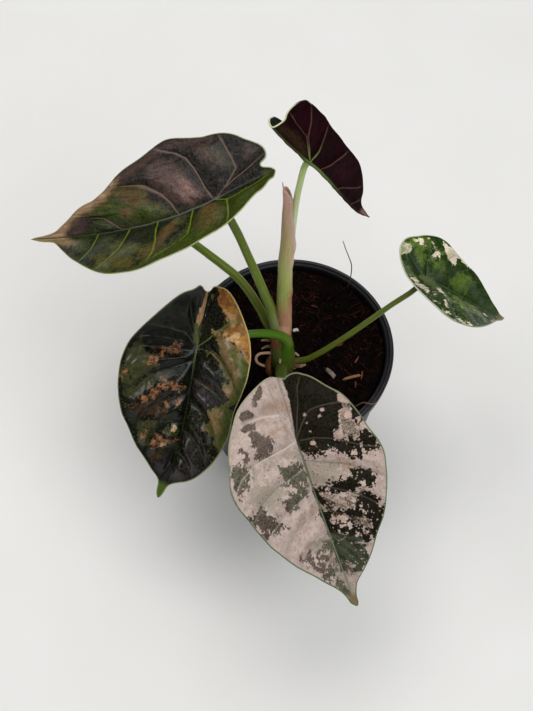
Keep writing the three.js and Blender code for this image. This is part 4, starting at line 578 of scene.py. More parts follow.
            [(1.63, -3.6), (4.78, -6.24), (7.61, -5.9), (6.04, -3.26), (2.45, -2.16)],
            [(25.54, -8.98), (28.34, -9.2), (29.51, -3.5), (26.89, -2.86)],
            [(33.16, -3.48), (40.67, -3.7), (46.58, -0.87), (38.96, 2.08)],
        ],
        "tip": [
            [(46.57, -1.38), (49.69, -1.59), (53.49, -0.21), (48.64, 3), (44.31, 3.95)],
        ],
    },
    "e": {
        "brown": [
            [(-25.46, 2.06), (-23.2, 4.26), (-17.89, 5.79), (-12.13, 6.3), (-6.54, 4.62), (-2.34, 1.76), (-5.56, 0.94), (-10.93, 1.74), (-17.49, 2.25), (-22.01, 1.52)],
        ],
        "wine": [
            [(-19, 12.98), (-14.75, 15.25), (-9.48, 11.02), (-12.21, 8), (-17.6, 8.59)],
            [(-11.34, 16.91), (-4.63, 17.31), (-0.28, 14.81), (-0.56, 9.69), (-1.32, 5.11), (-7.74, 10.96)],
            [(16.82, 6.33), (22.4, 11.96), (31.68, 11.94), (33.56, 7.13), (24.55, 3.54), (16.47, 3.23)],
            [(19.59, 14.19), (26.42, 14.02), (28.07, 11.1), (21.1, 11.29)],
        ],
        "tip": [
            [(43.12, 1.87), (49.42, 2.55), (58.71, 2.58), (66.18, 0.67), (62.71, -0.29), (57.21, -2.04), (49.46, -1.3)],
        ],
    },
}

# ---- small tools ----
def unit(v):
    return v / np.maximum(np.linalg.norm(v, axis=-1, keepdims=True), 1e-12)


def srgb(r, g, b):
    def one(c):
        c = c / 255.0
        return c / 12.92 if c <= 0.04045 else ((c + 0.055) / 1.055) ** 2.4
    return (one(r), one(g), one(b), 1.0)


def smoothstep(x, a, b):
    t = np.clip((x - a) / (b - a), 0, 1)
    return t * t * (3 - 2 * t)


def make_object(name, verts, faces, materials, index=None, attrs=None, vectors=None, sharp=None):
    """One mesh piece. verts in millimetres, faces as index lists, attrs as point values."""
    me = bpy.data.meshes.new(name)
    me.from_pydata((np.asarray(verts, float) * MM).tolist(), [], [list(f) for f in faces])
    for m in materials:
        me.materials.append(m)
    if index is not None:
        me.polygons.foreach_set("material_index", np.asarray(index, np.int32))
    me.polygons.foreach_set("use_smooth", np.ones(len(me.polygons), bool))
    for k, a in (attrs or {}).items():
        me.attributes.new(k, "FLOAT", "POINT").data.foreach_set("value", np.asarray(a, np.float32).ravel())
    for k, a in (vectors or {}).items():
        me.attributes.new(k, "FLOAT_VECTOR", "POINT").data.foreach_set("vector", np.asarray(a, np.float32).ravel())
    me.update(calc_edges=True)
    if sharp is not None:
        me.set_sharp_from_angle(angle=math.radians(sharp))
    ob = bpy.data.objects.new(name, me)
    bpy.context.scene.collection.objects.link(ob)
    return ob


def settle(ob, slot, *nodes):
    """The piece rides on the plant and stands for its nodes; its slot is not used."""
    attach(ob, "root")
    if nodes:
        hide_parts(*nodes)
    return ob


# ---- smooth curve through rows, as in the frame ----
def curve_points(rows, n):
    """n + 1 points, tangents and radii along a centripetal curve through x, y, z, radius rows."""
    P = np.array([r[:3] for r in rows], float)
    R = np.array([r[3] for r in rows], float)
    m = len(P)
    ext = np.vstack([2 * P[0] - P[1], P, 2 * P[-1] - P[-2]])

    def at(u):
        p = u * (m - 1)
        k = min(int(math.floor(p)), m - 2)
        w = p - k
        p0, p1, p2, p3 = ext[k], ext[k + 1], ext[k + 2], ext[k + 3]
        d = [max(np.linalg.norm(b - a) ** 0.5, 1e-4) for a, b in ((p0, p1), (p1, p2), (p2, p3))]
        t1 = ((p1 - p0) / d[0] - (p2 - p0) / (d[0] + d[1]) + (p2 - p1) / d[1]) * d[1]
        t2 = ((p2 - p1) / d[1] - (p3 - p1) / (d[1] + d[2]) + (p3 - p2) / d[2]) * d[1]
        c2 = -3 * p1 + 3 * p2 - 2 * t1 - t2
        c3 = 2 * p1 - 2 * p2 + t1 + t2
        return p1 + t1 * w + c2 * w * w + c3 * w ** 3, R[k] * (1 - w) + R[k + 1] * w

    us = np.linspace(0, 1, n + 1)
    pts = np.array([at(u)[0] for u in us])
    rad = np.array([at(u)[1] for u in us])
    # round off the corners of the radius
    for _ in range(max(2, n // 16)):
        rad[1:-1] = (rad[:-2] + 2 * rad[1:-1] + rad[2:]) / 4
    tan = unit(np.gradient(pts, axis=0))
    return pts, tan, rad


def frames_along(pts, tan):
    n = np.array([1.0, 0, 0])
    if abs(tan[0][0]) > 0.8:
        n = np.array([0.0, 1, 0])
    A = []
    for t in tan:
        n = n - t * (n @ t)
        n = n / np.linalg.norm(n)
        A.append(n.copy())
    A = np.array(A)
    return A, np.cross(tan, A)


def tube(rows, sides, steps, shape=None, cap=0.6):
    """Closed tube with rounded ends. shape(u, a, r) gives the radius at share u of the length and angle a."""
    pts, tan, rad = curve_points(rows, steps)
    A, B = frames_along(pts, tan)
    along = np.r_[0, np.cumsum(np.linalg.norm(np.diff(pts, axis=0), axis=1))]
    ang = 2 * np.pi * np.arange(sides) / sides
    verts, lon, aro = [], [], []
    for i in range(steps + 1):
        u = i / steps
        r = rad[i] * np.ones(sides)
        if shape is not None:
            r = shape(u, ang, rad[i])
        ring = pts[i] + (A[i] * np.cos(ang)[:, None] + B[i] * np.sin(ang)[:, None]) * r[:, None]
        verts.append(ring)
        lon.append(np.full(sides, along[i]))
        aro.append(ang)
    rings = steps + 1
    # rounded ends
    ends = []
    for first in (True, False):
        i = 0 if first else steps
        d = -tan[0] if first else tan[-1]
        base = verts[0] if first else verts[steps]
        c = pts[i]
        for k in (0.45, 0.8):
            ring = c + (base - c) * math.sqrt(1 - k * k) + d * rad[i] * cap * k
            ends.append((ring, along[i]))
        ends.append((np.array([c + d * rad[i] * cap]), along[i]))
    V = np.vstack(verts)
    lon = np.concatenate(lon)
    aro = np.concatenate(aro)
    faces = []
    for i in range(steps):
        for j in range(sides):
            a, b = i * sides + j, i * sides + (j + 1) % sides
            faces.append((a, b, b + sides, a + sides))
    start = len(V)
    for first in (True, False):
        e = ends[:3] if first else ends[3:]
        ring0 = 0 if first else steps * sides
        idx = [ring0 + np.arange(sides)]
        for ring, s in e[:2]:
            idx.append(start + np.arange(sides))
            V = np.vstack([V, ring])
            lon = np.r_[lon, np.full(sides, s)]
            aro = np.r_[aro, ang]
            start += sides
        tip = start
        V = np.vstack([V, e[2][0]])
        lon = np.r_[lon, e[2][1]]
        aro = np.r_[aro, 0.0]
        start += 1
        for q in range(2):
            for j in range(sides):
                a, b = idx[q][j], idx[q][(j + 1) % sides]
                c, d = idx[q + 1][j], idx[q + 1][(j + 1) % sides]
                faces.append((b, a, c, d) if first else (a, b, d, c))
        for j in range(sides):
            a, b = idx[2][j], idx[2][(j + 1) % sides]
            faces.append((b, a, tip) if first else (a, b, tip))
    return V, faces, lon, aro, along[-1]


# ---- value noise for shapes, seeded ----
class Noise3:
    def __init__(self, seed):
        self.g = np.random.default_rng(seed).random((32, 32, 32))

    def __call__(self, P, size):
        q = np.asarray(P, float) / size
        i = np.floor(q).astype(int)
        f = q - i
        f = f * f * (3 - 2 * f)
        out = 0
        for dx in (0, 1):
            for dy in (0, 1):
                for dz in (0, 1):
                    w = (f[..., 0] if dx else 1 - f[..., 0]) * (f[..., 1] if dy else 1 - f[..., 1]) * (f[..., 2] if dz else 1 - f[..., 2])
                    out = out + w * self.g[(i[..., 0] + dx) % 32, (i[..., 1] + dy) % 32, (i[..., 2] + dz) % 32]
        return out * 2 - 1


# ---- node materials ----
class Mat:
    def __init__(self, name):
        self.m = bpy.data.materials.new(name)
        self.m.use_nodes = True
        self.t = self.m.node_tree
        self.t.nodes.clear()
        self.out = self.t.nodes.new("ShaderNodeOutputMaterial")
        self.bsdf = self.t.nodes.new("ShaderNodeBsdfPrincipled")
        self.t.links.new(self.bsdf.outputs[0], self.out.inputs[0])

    def put(self, socket, v):
        if isinstance(v, bpy.types.NodeSocket):
            self.t.links.new(v, socket)
        elif v is not None:
            socket.default_value = v

    def set(self, **kw):
        for k, v in kw.items():
            self.put(self.bsdf.inputs[k.replace("_", " ")], v)

    def attr(self, name, vector=False):
        n = self.t.nodes.new("ShaderNodeAttribute")
        n.attribute_name = name
        return n.outputs["Vector"] if vector else n.outputs["Fac"]

    def math(self, op, a, b=None, c=None):
        n = self.t.nodes.new("ShaderNodeMath")
        n.operation = op
        self.put(n.inputs[0], a)
        if b is not None:
            self.put(n.inputs[1], b)
        if c is not None:
            self.put(n.inputs[2], c)
        return n.outputs[0]

    def add(self, a, b):
        return self.math("ADD", a, b)

    def mul(self, a, b):
        return self.math("MULTIPLY", a, b)

    def sub(self, a, b):
        return self.math("SUBTRACT", a, b)

    def madd(self, a, b, c):
        return self.math("MULTIPLY_ADD", a, b, c)

    def smooth(self, x, lo, hi, a=0.0, b=1.0):
        n = self.t.nodes.new("ShaderNodeMapRange")
        n.interpolation_type = "SMOOTHSTEP"
        self.put(n.inputs[0], x)
        for k, v in ((1, lo), (2, hi), (3, a), (4, b)):
            self.put(n.inputs[k], v)
        return n.outputs[0]

    def line(self, x, lo, hi, a=0.0, b=1.0):
        n = self.t.nodes.new("ShaderNodeMapRange")
        self.put(n.inputs[0], x)
        for k, v in ((1, lo), (2, hi), (3, a), (4, b)):
            self.put(n.inputs[k], v)
        return n.outputs[0]

    def mix(self, f, a, b, blend="MIX"):
        n = self.t.nodes.new("ShaderNodeMix")
        n.data_type = "RGBA"
        n.blend_type = blend
        self.put(n.inputs[0], f)
        self.put(n.inputs[6], a)
        self.put(n.inputs[7], b)
        return n.outputs[2]

    def noise(self, vec, scale, detail=3.0, rough=0.55, distort=0.0):
        n = self.t.nodes.new("ShaderNodeTexNoise")
        self.put(n.inputs["Vector"], vec)
        self.put(n.inputs["Scale"], scale)
        self.put(n.inputs["Detail"], detail)
        self.put(n.inputs["Roughness"], rough)
        self.put(n.inputs["Distortion"], distort)
        return n.outputs[0]

    def voronoi(self, vec, scale, feature="F1", random=1.0):
        n = self.t.nodes.new("ShaderNodeTexVoronoi")
        n.feature = feature
        self.put(n.inputs["Vector"], vec)
        self.put(n.inputs["Scale"], scale)
        self.put(n.inputs["Randomness"], random)
        return n.outputs["Distance"]

    def scale_vec(self, vec, s):
        n = self.t.nodes.new("ShaderNodeVectorMath")
        n.operation = "MULTIPLY"
        self.put(n.inputs[0], vec)
        n.inputs[1].default_value = s
        return n.outputs[0]

    def object_mm(self):
        """The row frame in millimetres; every piece's own space is the frame."""
        n = self.t.nodes.new("ShaderNodeTexCoord")
        return self.scale_vec(n.outputs["Object"], (1000, 1000, 1000))

    def bump(self, height, strength, distance_mm, normal=None):
        n = self.t.nodes.new("ShaderNodeBump")
        n.inputs["Strength"].default_value = strength
        n.inputs["Distance"].default_value = distance_mm * MM
        self.put(n.inputs["Height"], height)
        if normal is not None:
            self.put(n.inputs["Normal"], normal)
        return n.outputs[0]

    def ramp(self, f, stops):
        n = self.t.nodes.new("ShaderNodeValToRGB")
        e = n.color_ramp.elements
        e[0].position, e[0].color = stops[0]
        e[1].position, e[1].color = stops[-1]
        for p, c in stops[1:-1]:
            x = e.new(p)
            x.color = c
        self.put(n.inputs[0], f)
        return n.outputs[0]


# ---- blade surface, as in the frame ----
class Blade:
    def __init__(self, spec):
        self.spec = spec
        self.b = np.array(spec["bez"], float)
        self.tt = np.linspace(0, 1, 201)
        P = self._bez(self.tt)
        self.sl = np.r_[0, np.cumsum(np.linalg.norm(np.diff(P, axis=0), axis=1))]
        self.L = self.sl[-1]
        T0 = self._tan(np.zeros(1))[0]
        up = np.array([0, 0, 1.0])
        u0 = unit(up - (up @ T0) * T0)
        h0 = np.cross(T0, u0)
        r = math.radians(spec["roll"])
        self.T0 = T0
        self.W0 = math.cos(r) * h0 + math.sin(r) * u0
        self.N0 = np.cross(self.W0, T0)

    def _bez(self, t):
        t = np.asarray(t)[..., None]
        b = self.b
        return (1 - t) ** 3 * b[0] + 3 * t * (1 - t) ** 2 * b[1] + 3 * t * t * (1 - t) * b[2] + t ** 3 * b[3]

    def _tan(self, s):
        t = np.interp(np.clip(s, 0, self.L), self.sl, self.tt)[..., None]
        b = self.b
        return unit(3 * (1 - t) ** 2 * (b[1] - b[0]) + 6 * t * (1 - t) * (b[2] - b[1]) + 3 * t * t * (b[3] - b[2]))

    def at(self, s, t):
        s, t = np.asarray(s, float), np.asarray(t, float)
        sp = self.spec
        q = np.interp(np.clip(s, 0, self.L), self.sl, self.tt)
        P, T = self._bez(q), self._tan(s)
        P = P + np.where(s > self.L, s - self.L, 0)[..., None] * T
        neg = np.where(s < 0, -s, 0)
        P = P - neg[..., None] * self.T0 + (0.5 * sp["back"] * neg ** 2)[..., None] * self.N0
        T = np.where((s < 0)[..., None], unit(self.T0 - (sp["back"] * neg)[..., None] * self.N0), T)
        W = unit(self.W0 - (T @ self.W0)[..., None] * T)
        N = np.cross(W, T)
        f = np.radians(np.where(t < 0, sp["fold_l"], sp["fold_r"]))
        h = np.sin(f) * (np.sqrt(t * t + CREASE ** 2) - CREASE) + 0.5 * sp["cup"] * t * t
        return P + (t * np.cos(f))[..., None] * W + h[..., None] * N

    def normal(self, s, t, e=0.2):
        a = self.at(s + e, t) - self.at(s - e, t)
        c = self.at(s, t + e) - self.at(s, t - e)
        return unit(np.cross(c, a))


def smooth_margin(outline, n):
    """The closed margin, n points at even steps, starting at the drip tip."""
    O = np.array(outline, float)
    m = len(O)
    pts = []
    for i in range(m):
        p0, p1, p2, p3 = O[i - 1], O[i], O[(i + 1) % m], O[(i + 2) % m]
        d = [max(np.linalg.norm(b - a) ** 0.5, 1e-3) for a, b in ((p0, p1), (p1, p2), (p2, p3))]
        t1 = ((p1 - p0) / d[0] - (p2 - p0) / (d[0] + d[1]) + (p2 - p1) / d[1]) * d[1]
        t2 = ((p2 - p1) / d[1] - (p3 - p1) / (d[1] + d[2]) + (p3 - p2) / d[2]) * d[1]
        if i == 0:
            t1 = (p2 - p1)
        if i == m - 1:
            t2 = (p2 - p1)
        for w in np.arange(8) / 8:
            pts.append(p1 + t1 * w + (-3 * p1 + 3 * p2 - 2 * t1 - t2) * w * w + (2 * p1 - 2 * p2 + t1 + t2) * w ** 3)
    P = np.array(pts + [pts[0]])
    # calm the small waver of the line, but keep the tip
    Q = P[:-1].copy()
    keep = np.exp(-(np.linalg.norm(Q - Q[0], axis=1) / 2.0) ** 2)[:, None]
    for _ in range(5):
        S = (np.roll(Q, 1, 0) + 2 * Q + np.roll(Q, -1, 0)) / 4
        Q = keep * Q + (1 - keep) * S
    P = np.vstack([Q, Q[:1]])
    L = np.r_[0, np.cumsum(np.linalg.norm(np.diff(P, axis=0), axis=1))]
    x = np.linspace(0, L[-1], n + 1)[:-1]
    return np.stack([np.interp(x, L, P[:, 0]), np.interp(x, L, P[:, 1])], 1)


def seg_dist(p, poly, closed=True):
    """Distance of points to a polyline, and the crossing count for points inside a closed one."""
    V = np.array(poly, float)
    n = len(V) if closed else len(V) - 1
    best = np.full(len(p), 1e9)
    inside = np.zeros(len(p), bool)
    for i in range(n):
        a, b = V[i], V[(i + 1) % len(V)]
        e = b - a
        w = np.clip(((p - a) @ e) / max(e @ e, 1e-12), 0, 1)
        best = np.minimum(best, np.linalg.norm(p - a - w[:, None] * e, axis=1))
        if closed and a[1] != b[1]:
            cond = ((a[1] > p[:, 1]) != (b[1] > p[:, 1])) & (p[:, 0] < (b[0] - a[0]) * (p[:, 1] - a[1]) / (b[1] - a[1]) + a[0])
            inside ^= cond
    return best, inside


def patch_field(p, polys, limit=5.0):
    """Signed distance to a set of patches, positive inside."""
    out = np.full(len(p), -limit)
    for poly in polys:
        d, inside = seg_dist(p, poly)
        out = np.maximum(out, np.where(inside, d, -d))
    return np.clip(out, -limit, limit)


def vein_fields(s, u, veins, L):
    """For one half: vein count coordinate and local spacing, so that a vein is at each whole number."""
    G, C = [], []
    for v in veins:
        a = np.array(v, float)
        x = np.maximum.accumulate(a[:, 1] + np.arange(len(a)) * 1e-3)
        y = a[:, 0]
        first = (y[1] - y[0]) / max(x[1] - x[0], 0.3)
        last = (y[-1] - y[-2]) / max(x[-1] - x[-2], 0.3)
        g = np.interp(u, x, y)
        g = np.where(u > x[-1], y[-1] + (u - x[-1]) * last, g)
        g = np.where(u < x[0], y[0] + (u - x[0]) * np.clip(first, -2, 2), g)
        e = 0.5
        gp = (np.interp(u + e, x, y) - np.interp(u - e, x, y)) / (2 * e)
        gp = np.where(u > x[-1] - e, last, gp)
        G.append(g)
        C.append(1 / np.sqrt(1 + gp ** 2))
    # veins keep their order
    for i in range(1, len(G)):
        G[i] = np.maximum(G[i], G[i - 1] + 0.02)
    G = [np.minimum(G[0] - 18, s - 1)] + G + [np.maximum(G[-1] + 14, s + 1)]
    C = [C[0]] + C + [C[-1]]
    phi = np.zeros_like(s)
    span = np.ones_like(s)
    for i in range(len(G) - 1):
        m = (s >= G[i]) & (s < G[i + 1])
        w = (s - G[i]) / np.maximum(G[i + 1] - G[i], 1e-6)
        phi = np.where(m, i + w, phi)
        span = np.where(m, (G[i + 1] - G[i]) * 0.5 * (C[i] + C[i + 1]), span)
    # the outer strips have no vein at their far side
    d = np.abs(phi - np.round(phi)) * span
    far = ((phi < 0.5) | (phi > len(G) - 1.5))
    d = np.where(far, np.maximum(d, 3.0), d)
    return phi, span, d


SHAPES = {
    # quilt height, midrib groove, side vein groove, underside midrib, underside veins, rays, rings
    "a": dict(quilt=1.5, groove=0.5, vein=0.34, rib=0.9, ribs=0.35, rays=420, rings=58, wave=0.5),
    "b": dict(quilt=2.7, groove=0.6, vein=0.3, rib=0.9, ribs=0.35, rays=400, rings=58, wave=0.4),
    "c": dict(quilt=1.5, groove=0.5, vein=0.34, rib=0.9, ribs=0.35, rays=420, rings=58, wave=0.5),
    "d": dict(quilt=0.9, groove=0.35, vein=0.25, rib=0.6, ribs=0.25, rays=320, rings=44, wave=0.3),
    "e": dict(quilt=0.45, groove=0.4, vein=0.28, rib=0.75, ribs=0.4, rays=340, rings=46, wave=0.0),
    "f": dict(quilt=0.9, groove=0.35, vein=0.25, rib=0.6, ribs=0.25, rays=240, rings=34, wave=0.3),
}
HALF_THICK = 0.22


def mirrored(veins, k):
    return [[(s, t * k) for s, t in v] for v in veins]


def build_blade(name, materials):
    spec, sh = BLADES[name], SHAPES[name]
    B = Blade(spec)
    M = smooth_margin(spec["outline"], sh["rays"])
    n = len(M)
    r = np.linalg.norm(M, axis=1)
    rho = [np.zeros(n) + x for x in (np.arange(1, sh["rings"] - 3) / (sh["rings"] - 3)) ** 0.8]
    rings = [q * (1 - 1.3 / r) for q in rho] + [1 - 1.3 / r, 1 - 0.8 / r, 1 - 0.4 / r, 1 - 0.15 / r, np.ones(n)]
    R = len(rings)
    st = np.vstack([[[0.0, 0.0]]] + [M * q[:, None] for q in rings])
    s, t = st[:, 0], st[:, 1]
    edge, _ = seg_dist(st, M)
    edge[-n:] = 0
    own = VEINS.get(name)
    if own is None:
        own = {"+": mirrored(VEINS["d"]["-"], 0.9), "-": mirrored(VEINS["d"]["-"], 0.9)}
    plus = own["+"]
    minus = own.get("-") or mirrored(plus, 0.95)
    u = np.abs(t)
    phi_p, span_p, dp = vein_fields(s, u, plus, B.L)
    phi_m, span_m, dm = vein_fields(s, u, minus, B.L)
    dv = np.where(t >= 0, dp, dm)
    free = own.get("free", [])
    dfree = np.full(len(s), 6.0)
    for f in free:
        d, _ = seg_dist(st, f, closed=False)
        dfree = np.minimum(dfree, d)
    dv = np.minimum(dv, dfree)
    noise = Noise3(11 + ord(name))
    lead = np.clip(1 - s / (B.L * 1.05), 0.25, 1)          # veins thin out towards the tip
    fade = smoothstep(edge, 0.6, 4.5)
    body = 1 - np.exp(-(dv / (3.6 if name == "b" else 4.2)) ** 2)
    pillow = sh["quilt"] * body * (1 - np.exp(-(u / 3.5) ** 2)) * smoothstep(edge, 0.5, 8.0)
    q3 = np.stack([s, t, np.zeros_like(s)], 1)
    small = 0.16 * noise(q3, 3.1) + 0.10 * noise(q3 + 7, 1.7)
    wave = sh["wave"] * noise(np.stack([s, np.sign(t) * 30, np.zeros_like(s)], 1), 14) * np.exp(-(edge / 5.0) ** 2) * smoothstep(u, 2, 8)
    back_of_stalk = smoothstep(s, -8, -1)
    lift = pillow + (small * fade) + wave
    lift -= sh["groove"] * np.exp(-(t / (1.1 * lead + 0.3)) ** 2) * smoothstep(edge, 0.3, 3) * (0.35 + 0.65 * back_of_stalk)
    apart = 1 - np.exp(-(u / 1.8) ** 2)
    lift -= sh["vein"] * np.exp(-(dv / 0.75) ** 2) * fade * apart
    P0, N = B.at(s, t), B.normal(s, t)
    mid = P0 + N * lift[:, None]
    half = HALF_THICK * np.sqrt(np.clip(1 - (1 - np.clip(edge / 0.4, 0, 1)) ** 2, 0, 1)) + 0.12 * np.exp(-((edge - 0.5) / 0.35) ** 2) * (edge > 0.1)
    under = half + fade * (sh["rib"] * np.exp(-(t / (0.95 * lead + 0.25)) ** 2) * (0.3 + 0.7 * back_of_stalk) + sh["ribs"] * np.exp(-(dv / 0.6) ** 2) * apart)
    top = mid + N * half[:, None]
    bot = mid - N * under[:, None]
    top[-n:] = mid[-n:]
    # top points, then bottom points without the margin ring, which both sides share
    V = np.vstack([top, bot[:-n]])
    T, Bm = len(top), len(bot) - n

    def ti(ring, j):
        return 1 + ring * n + j % n

    def bi(ring, j):
        return ti(ring, j) if ring == R - 1 else T + 1 + ring * n + j % n

    faces, index = [], []
    for j in range(n):
        faces.append((0, ti(0, j + 1), ti(0, j)))
        index.append(0)
        faces.append((T, bi(0, j), bi(0, j + 1)))
        index.append(1)
        for k in range(R - 1):
            faces.append((ti(k, j), ti(k, j + 1), ti(k + 1, j + 1), ti(k + 1, j)))
            index.append(0)
            faces.append((bi(k, j), bi(k + 1, j), bi(k + 1, j + 1), bi(k, j + 1)))
            index.append(1)
    keep = np.r_[np.arange(T), np.arange(Bm)]
    mean_n = unit(np.cross(V[faces[2][1]] - V[faces[2][0]], V[faces[2][2]] - V[faces[2][0]]))
    if mean_n @ N[1] < 0:
        faces = [tuple(reversed(f)) for f in faces]
    attrs = {
        "midn": (t / (0.35 + 0.55 * lead)), "edge": np.minimum(edge, 15), "along": s, "side": np.sign(t + 1e-9),
        "phi_p": phi_p, "span_p": np.minimum(span_p, 30), "phi_m": phi_m, "span_m": np.minimum(span_m, 30),
        "free": np.minimum(dfree, 6), "swell": body * (1 - np.exp(-(u / 3.5) ** 2)),
    }
    for k, polys in PATCHES.get(name, {}).items():
        attrs["m_" + k] = patch_field(st, polys)
    phi = np.where(t >= 0, phi_p, phi_m)
    vectors = {
        "leaf": np.stack([s, t, np.zeros_like(s)], 1),
        "streak": np.stack([phi * 7.0, u * 0.22, np.sign(t + 1e-9) * 5.0], 1),
    }
    return make_object("blade_" + name, V, faces, materials, index,
                       {k: a[keep] for k, a in attrs.items()}, {k: a[keep] for k, a in vectors.items()})


# ---- colours of the blades: patches in the order they lie over each other ----
LOOKS = {
    "a": dict(
        base=((6, 7, 5), (29, 28, 24)), mix=(0.8, 1.5, 0.35), streak=(0.66, 1.45),
        layers=[
            ("lime", (46, 50, 7), (42, 55, 8), 5, 1.4), ("olivetan", (84, 70, 34), (46, 50, 18), 5, 4.4),
            # the pink patches are partly leaf tone, partly painted sheen
            ("pink", (92, 70, 64), (42, 36, 32), 5.5, 6.5), ("green", (46, 62, 6), (30, 45, 7), 4, 3.6),
            # the grey, pale and bright pink layers here are painted sheen, the grey and pale ones partly leaf tone too
            ("russet", (104, 66, 42), (66, 52, 24), 6, 3.0, 0.7), ("greylight", (74, 80, 58), (36, 42, 24), 5, 5.0, 0.5),
            ("pale", (112, 110, 76), (48, 56, 22), 5, 4.2, 0.55), ("pinkbright", (150, 114, 105), (90, 72, 66), 5, 5.5),
            ("darkhole", (7, 7, 5), (16, 15, 11), 4, 4.6), ("peach", (176, 142, 112), (124, 100, 72), 5, 4.6),
        ],
        margin=(192, 200, 156), margin2=(160, 152, 98), margin_w=0.44,
        mid=(84, 88, 76), mid2=(46, 66, 26), mid_w=0.5,
        vein_p=(132, 108, 96), vein_m=(112, 132, 24), vein_w=0.3, vein_s=(0.5, 0.75), rough=0.3, spec=0.22, maroon=0.6,
    ),
    "b": dict(
        base=((7, 8, 5), (19, 21, 14)), mix=(1.6, 0.4, 0.8), streak=(0.8, 1.2),
        layers=[
            # the purple patches are partly leaf tone, partly painted sheen
            ("purple", (44, 36, 42), (20, 18, 20), 4, 3.6), ("mid", (52, 54, 30), (26, 28, 16), 4, 1.2),
            ("olive", (126, 112, 66), (94, 94, 46), 3.0, 0.8), ("brown", (74, 50, 36), (28, 24, 15), 5, 1.8),
            ("tanpatch", (154, 104, 72), (66, 48, 28), 3.6, 1.3, 0.9, -0.2), ("orange", (178, 130, 62), (138, 90, 38), 1.2, 0.5),
            ("rust", (140, 90, 52), (106, 68, 38), 3, 1.2), ("peachlight", (214, 178, 126), (186, 142, 88), 3, 1.8),
            # the pale glints and the pale fold line on this row are painted highlights
            ("palehi", (222, 190, 140), (176, 144, 96), 2, 0.9), ("seam", (206, 160, 112), (158, 116, 70), 1.6, 0.7),
            ("oliveseam", (96, 100, 40), (74, 82, 34), 2, 0.8), ("speck", (134, 102, 62), (104, 80, 46), 2, 0.6),
        ],
        margin=(196, 172, 118), margin2=(140, 142, 92), margin_w=0.42,
        mid=(96, 112, 40), mid2=(28, 38, 22), mid_w=0.28,
        vein_p=(66, 74, 46), vein_m=(112, 118, 66), vein_w=0.26, vein_s=(0.16, 0.6), rough=0.2, spec=0.5, maroon=0.7,
    ),
    "c": dict(
        base=((194, 176, 167), (170, 149, 139)), mix=(1.7, 0.4, 1.0), streak=(0.9, 1.09),
        layers=[
            # the tan layer is painted shade in the folds
            ("tan", (156, 130, 112), (178, 154, 141), 6, 3.6), ("sage", (134, 132, 114), (166, 152, 138), 8, 3.0, 0.8),
            ("mixlight", (56, 54, 42), (178, 156, 142), 8, 0.9, 1.0, 0.3), ("greygreen", (80, 86, 68), (38, 46, 30), 7, 1.2, 1.0, 0.5),
            ("olive", (66, 70, 52), (104, 98, 82), 5.5, 0.9, 1.0, 0.3), ("brown", (78, 66, 58), (106, 92, 82), 6, 0.8, 1.0, 0.2),
            ("dark", (11, 15, 8), (34, 29, 20), 4.6, 0.6, 1.0, 0.55), ("bright", (202, 178, 164), (170, 144, 128), 2.5, 0.6),
        ],
        margin=(84, 108, 66), margin2=(158, 158, 128), margin_w=0.56,
        mid=(46, 60, 40), mid2=(112, 126, 98), mid_w=0.55,
        vein_p=(208, 194, 184), vein_m=(92, 82, 70), vein_w=0.3, vein_s=(0.7, 0.42), rough=0.4, spec=0.06, maroon=0.3,
    ),
    "d": dict(
        base=((25, 41, 9), (46, 73, 18)), mix=(1.3, 0.5, 0.9), streak=(0.8, 1.22),
        layers=[
            ("lime", (98, 120, 48), (66, 92, 34), 5, 2.4, 0.9), ("deep", (32, 44, 24), (46, 62, 32), 5, 1.4),
            # the bluish grey layer is painted sheen
            ("frost", (92, 108, 78), (58, 76, 46), 5, 2.8, 0.45), ("pale", (140, 152, 106), (84, 102, 58), 8, 0.8, 0.6),
            ("cream", (240, 226, 208), (216, 204, 164), 2.2, 0.3), ("tip", (96, 92, 60), (110, 112, 80), 4, 1.6),
        ],
        margin=(190, 194, 164), margin2=(140, 150, 112), margin_w=0.42,
        mid=(80, 100, 60), mid2=(62, 82, 42), mid_w=0.2,
        vein_p=(84, 102, 66), vein_m=(72, 90, 56), vein_w=0.24, vein_s=(0.4, 0.4), rough=0.34, spec=0.17, maroon=0.35,
    ),
    "e": dict(
        base=((6, 8, 5), (16, 20, 12)), mix=(0.9, 1.4, 1.2), streak=(0.75, 1.25),
        layers=[("brown", (60, 52, 36), (44, 42, 28), 5, 1.8), ("wine", (30, 26, 20), (40, 36, 26), 5, 2.0)],
        margin=(200, 208, 164), margin2=(50, 20, 20), margin_w=0.4,
        mid=(74, 84, 56), mid2=(64, 74, 46), mid_w=0.45,
        vein_p=(60, 70, 44), vein_m=(60, 70, 44), vein_w=0.36, vein_s=(0.6, 0.6), rough=0.42, spec=0.05, maroon=0.7,
    ),
    "f": dict(
        base=((14, 19, 10), (36, 42, 26)), mix=(0.9, 1.0, 1.4), streak=(0.8, 1.2), layers=[],
        margin=(136, 146, 110), margin2=(110, 122, 84), margin_w=0.42,
        mid=(78, 94, 58), mid2=(66, 82, 50), mid_w=0.4,
        vein_p=(64, 76, 50), vein_m=(64, 76, 50), vein_w=0.28, vein_s=(0.5, 0.5), rough=0.36, spec=0.25, maroon=0.7,
    ),
}


def colour_pair(m, f, pair):
    a, b = (c if isinstance(c, bpy.types.NodeSocket) else srgb(*c) for c in pair)
    return m.mix(f, a, b)


